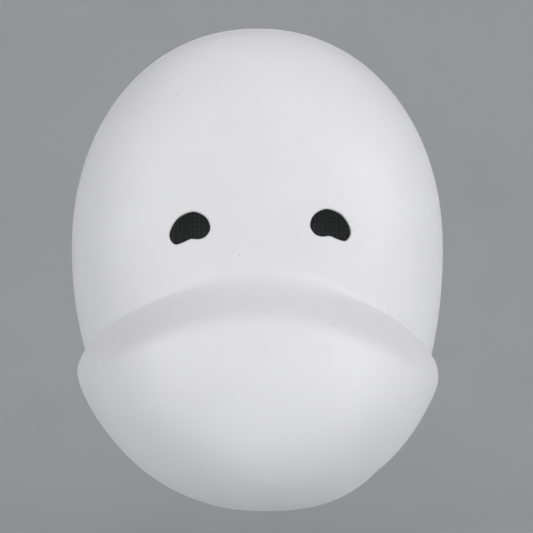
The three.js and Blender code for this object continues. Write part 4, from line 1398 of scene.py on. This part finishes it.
def matt_paper():
    """Seamless studio paper: matt, pale grey, with a barely seen mottle."""
    material, tree, place = start_material("studio_paper_matt_grey")
    cloud = add(tree, "ShaderNodeTexNoise", {"Vector": place, "Scale": 4.0, "Detail": 4.0})
    tone = add(tree, "ShaderNodeMix", {
        "Factor": cloud.outputs["Fac"], 6: colour("#bfc1c3"), 7: colour("#c8cacb")}, data_type="RGBA")
    shader = add(tree, "ShaderNodeBsdfPrincipled", {"Base Color": tone.outputs[2], "Roughness": 0.9})
    add(tree, "ShaderNodeOutputMaterial", {"Surface": shader.outputs["BSDF"]})
    return material


def studio():
    """A round floor that sweeps up into a plain wall on every side."""
    floor_z, flat, sweep, top = -600.0, 1500.0, 700.0, 2300.0
    profile = [(r, floor_z) for r in (1.0, 400.0, 800.0, 1200.0, flat)]
    profile += [(flat + sweep * math.sin(a), floor_z + sweep * (1 - math.cos(a)))
                for a in np.linspace(0.1, math.pi / 2, 16)]
    profile.append((flat + sweep, top))
    turn = 2 * math.pi * np.arange(128) / 128
    rows = [np.stack([r * np.cos(turn), r * np.sin(turn), np.full(128, z)], 1) for r, z in profile]
    surface = Surface()
    surface.strip(rows)
    surface.add([[0, 0, floor_z], *rows[0]], [(0, 1 + i, 1 + (i + 1) % 128) for i in range(128)])
    mesh = bpy.data.meshes.new("studio_floor")
    mesh.from_pydata((np.array(surface.points) * MM).tolist(), [], surface.faces)
    mesh.shade_smooth()
    floor = bpy.data.objects.new("studio_floor", mesh)
    bpy.context.collection.objects.link(floor)
    mesh.materials.append(matt_paper())


LIT_POINT = (0, -0.05, -0.02)


def lamp(name, place, size, watts):
    light = bpy.data.lights.new(name, "AREA")
    light.shape, light.size, light.energy = "DISK", size, watts
    made = bpy.data.objects.new(name, light)
    made.location = place
    made.rotation_euler = (Vector(LIT_POINT) - Vector(place)).to_track_quat("-Z", "Y").to_euler()
    bpy.context.collection.objects.link(made)


studio()
lamp("key_light", (1.2, -1.15, 0.34), 1.1, 15.5)
lamp("fill_light", (-1.2, -1.15, 0.34), 1.1, 11)
lamp("back_light", (0.0, 1.4, 0.35), 0.9, 8)
world = bpy.data.worlds.new("soft_room")
world.use_nodes = True
world.node_tree.nodes["Background"].inputs["Color"].default_value = colour("#ecebeb")
world.node_tree.nodes["Background"].inputs["Strength"].default_value = 0.62
bpy.context.scene.world = world
bpy.context.scene.view_settings.view_transform = "Standard"

camera_data = bpy.data.cameras.new("camera")
camera_data.sensor_width = 36.0
camera_data.lens = 68.9
camera = bpy.data.objects.new("camera", camera_data)
turn = math.radians(-1.5)
aim = Vector((0.0031, -0.060, -0.0179))
camera.location = aim + 0.470 * Vector((math.sin(turn), -math.cos(turn), 0.0))
camera.rotation_euler = (aim - camera.location).to_track_quat("-Z", "Y").to_euler()
bpy.context.collection.objects.link(camera)
bpy.context.scene.camera = camera
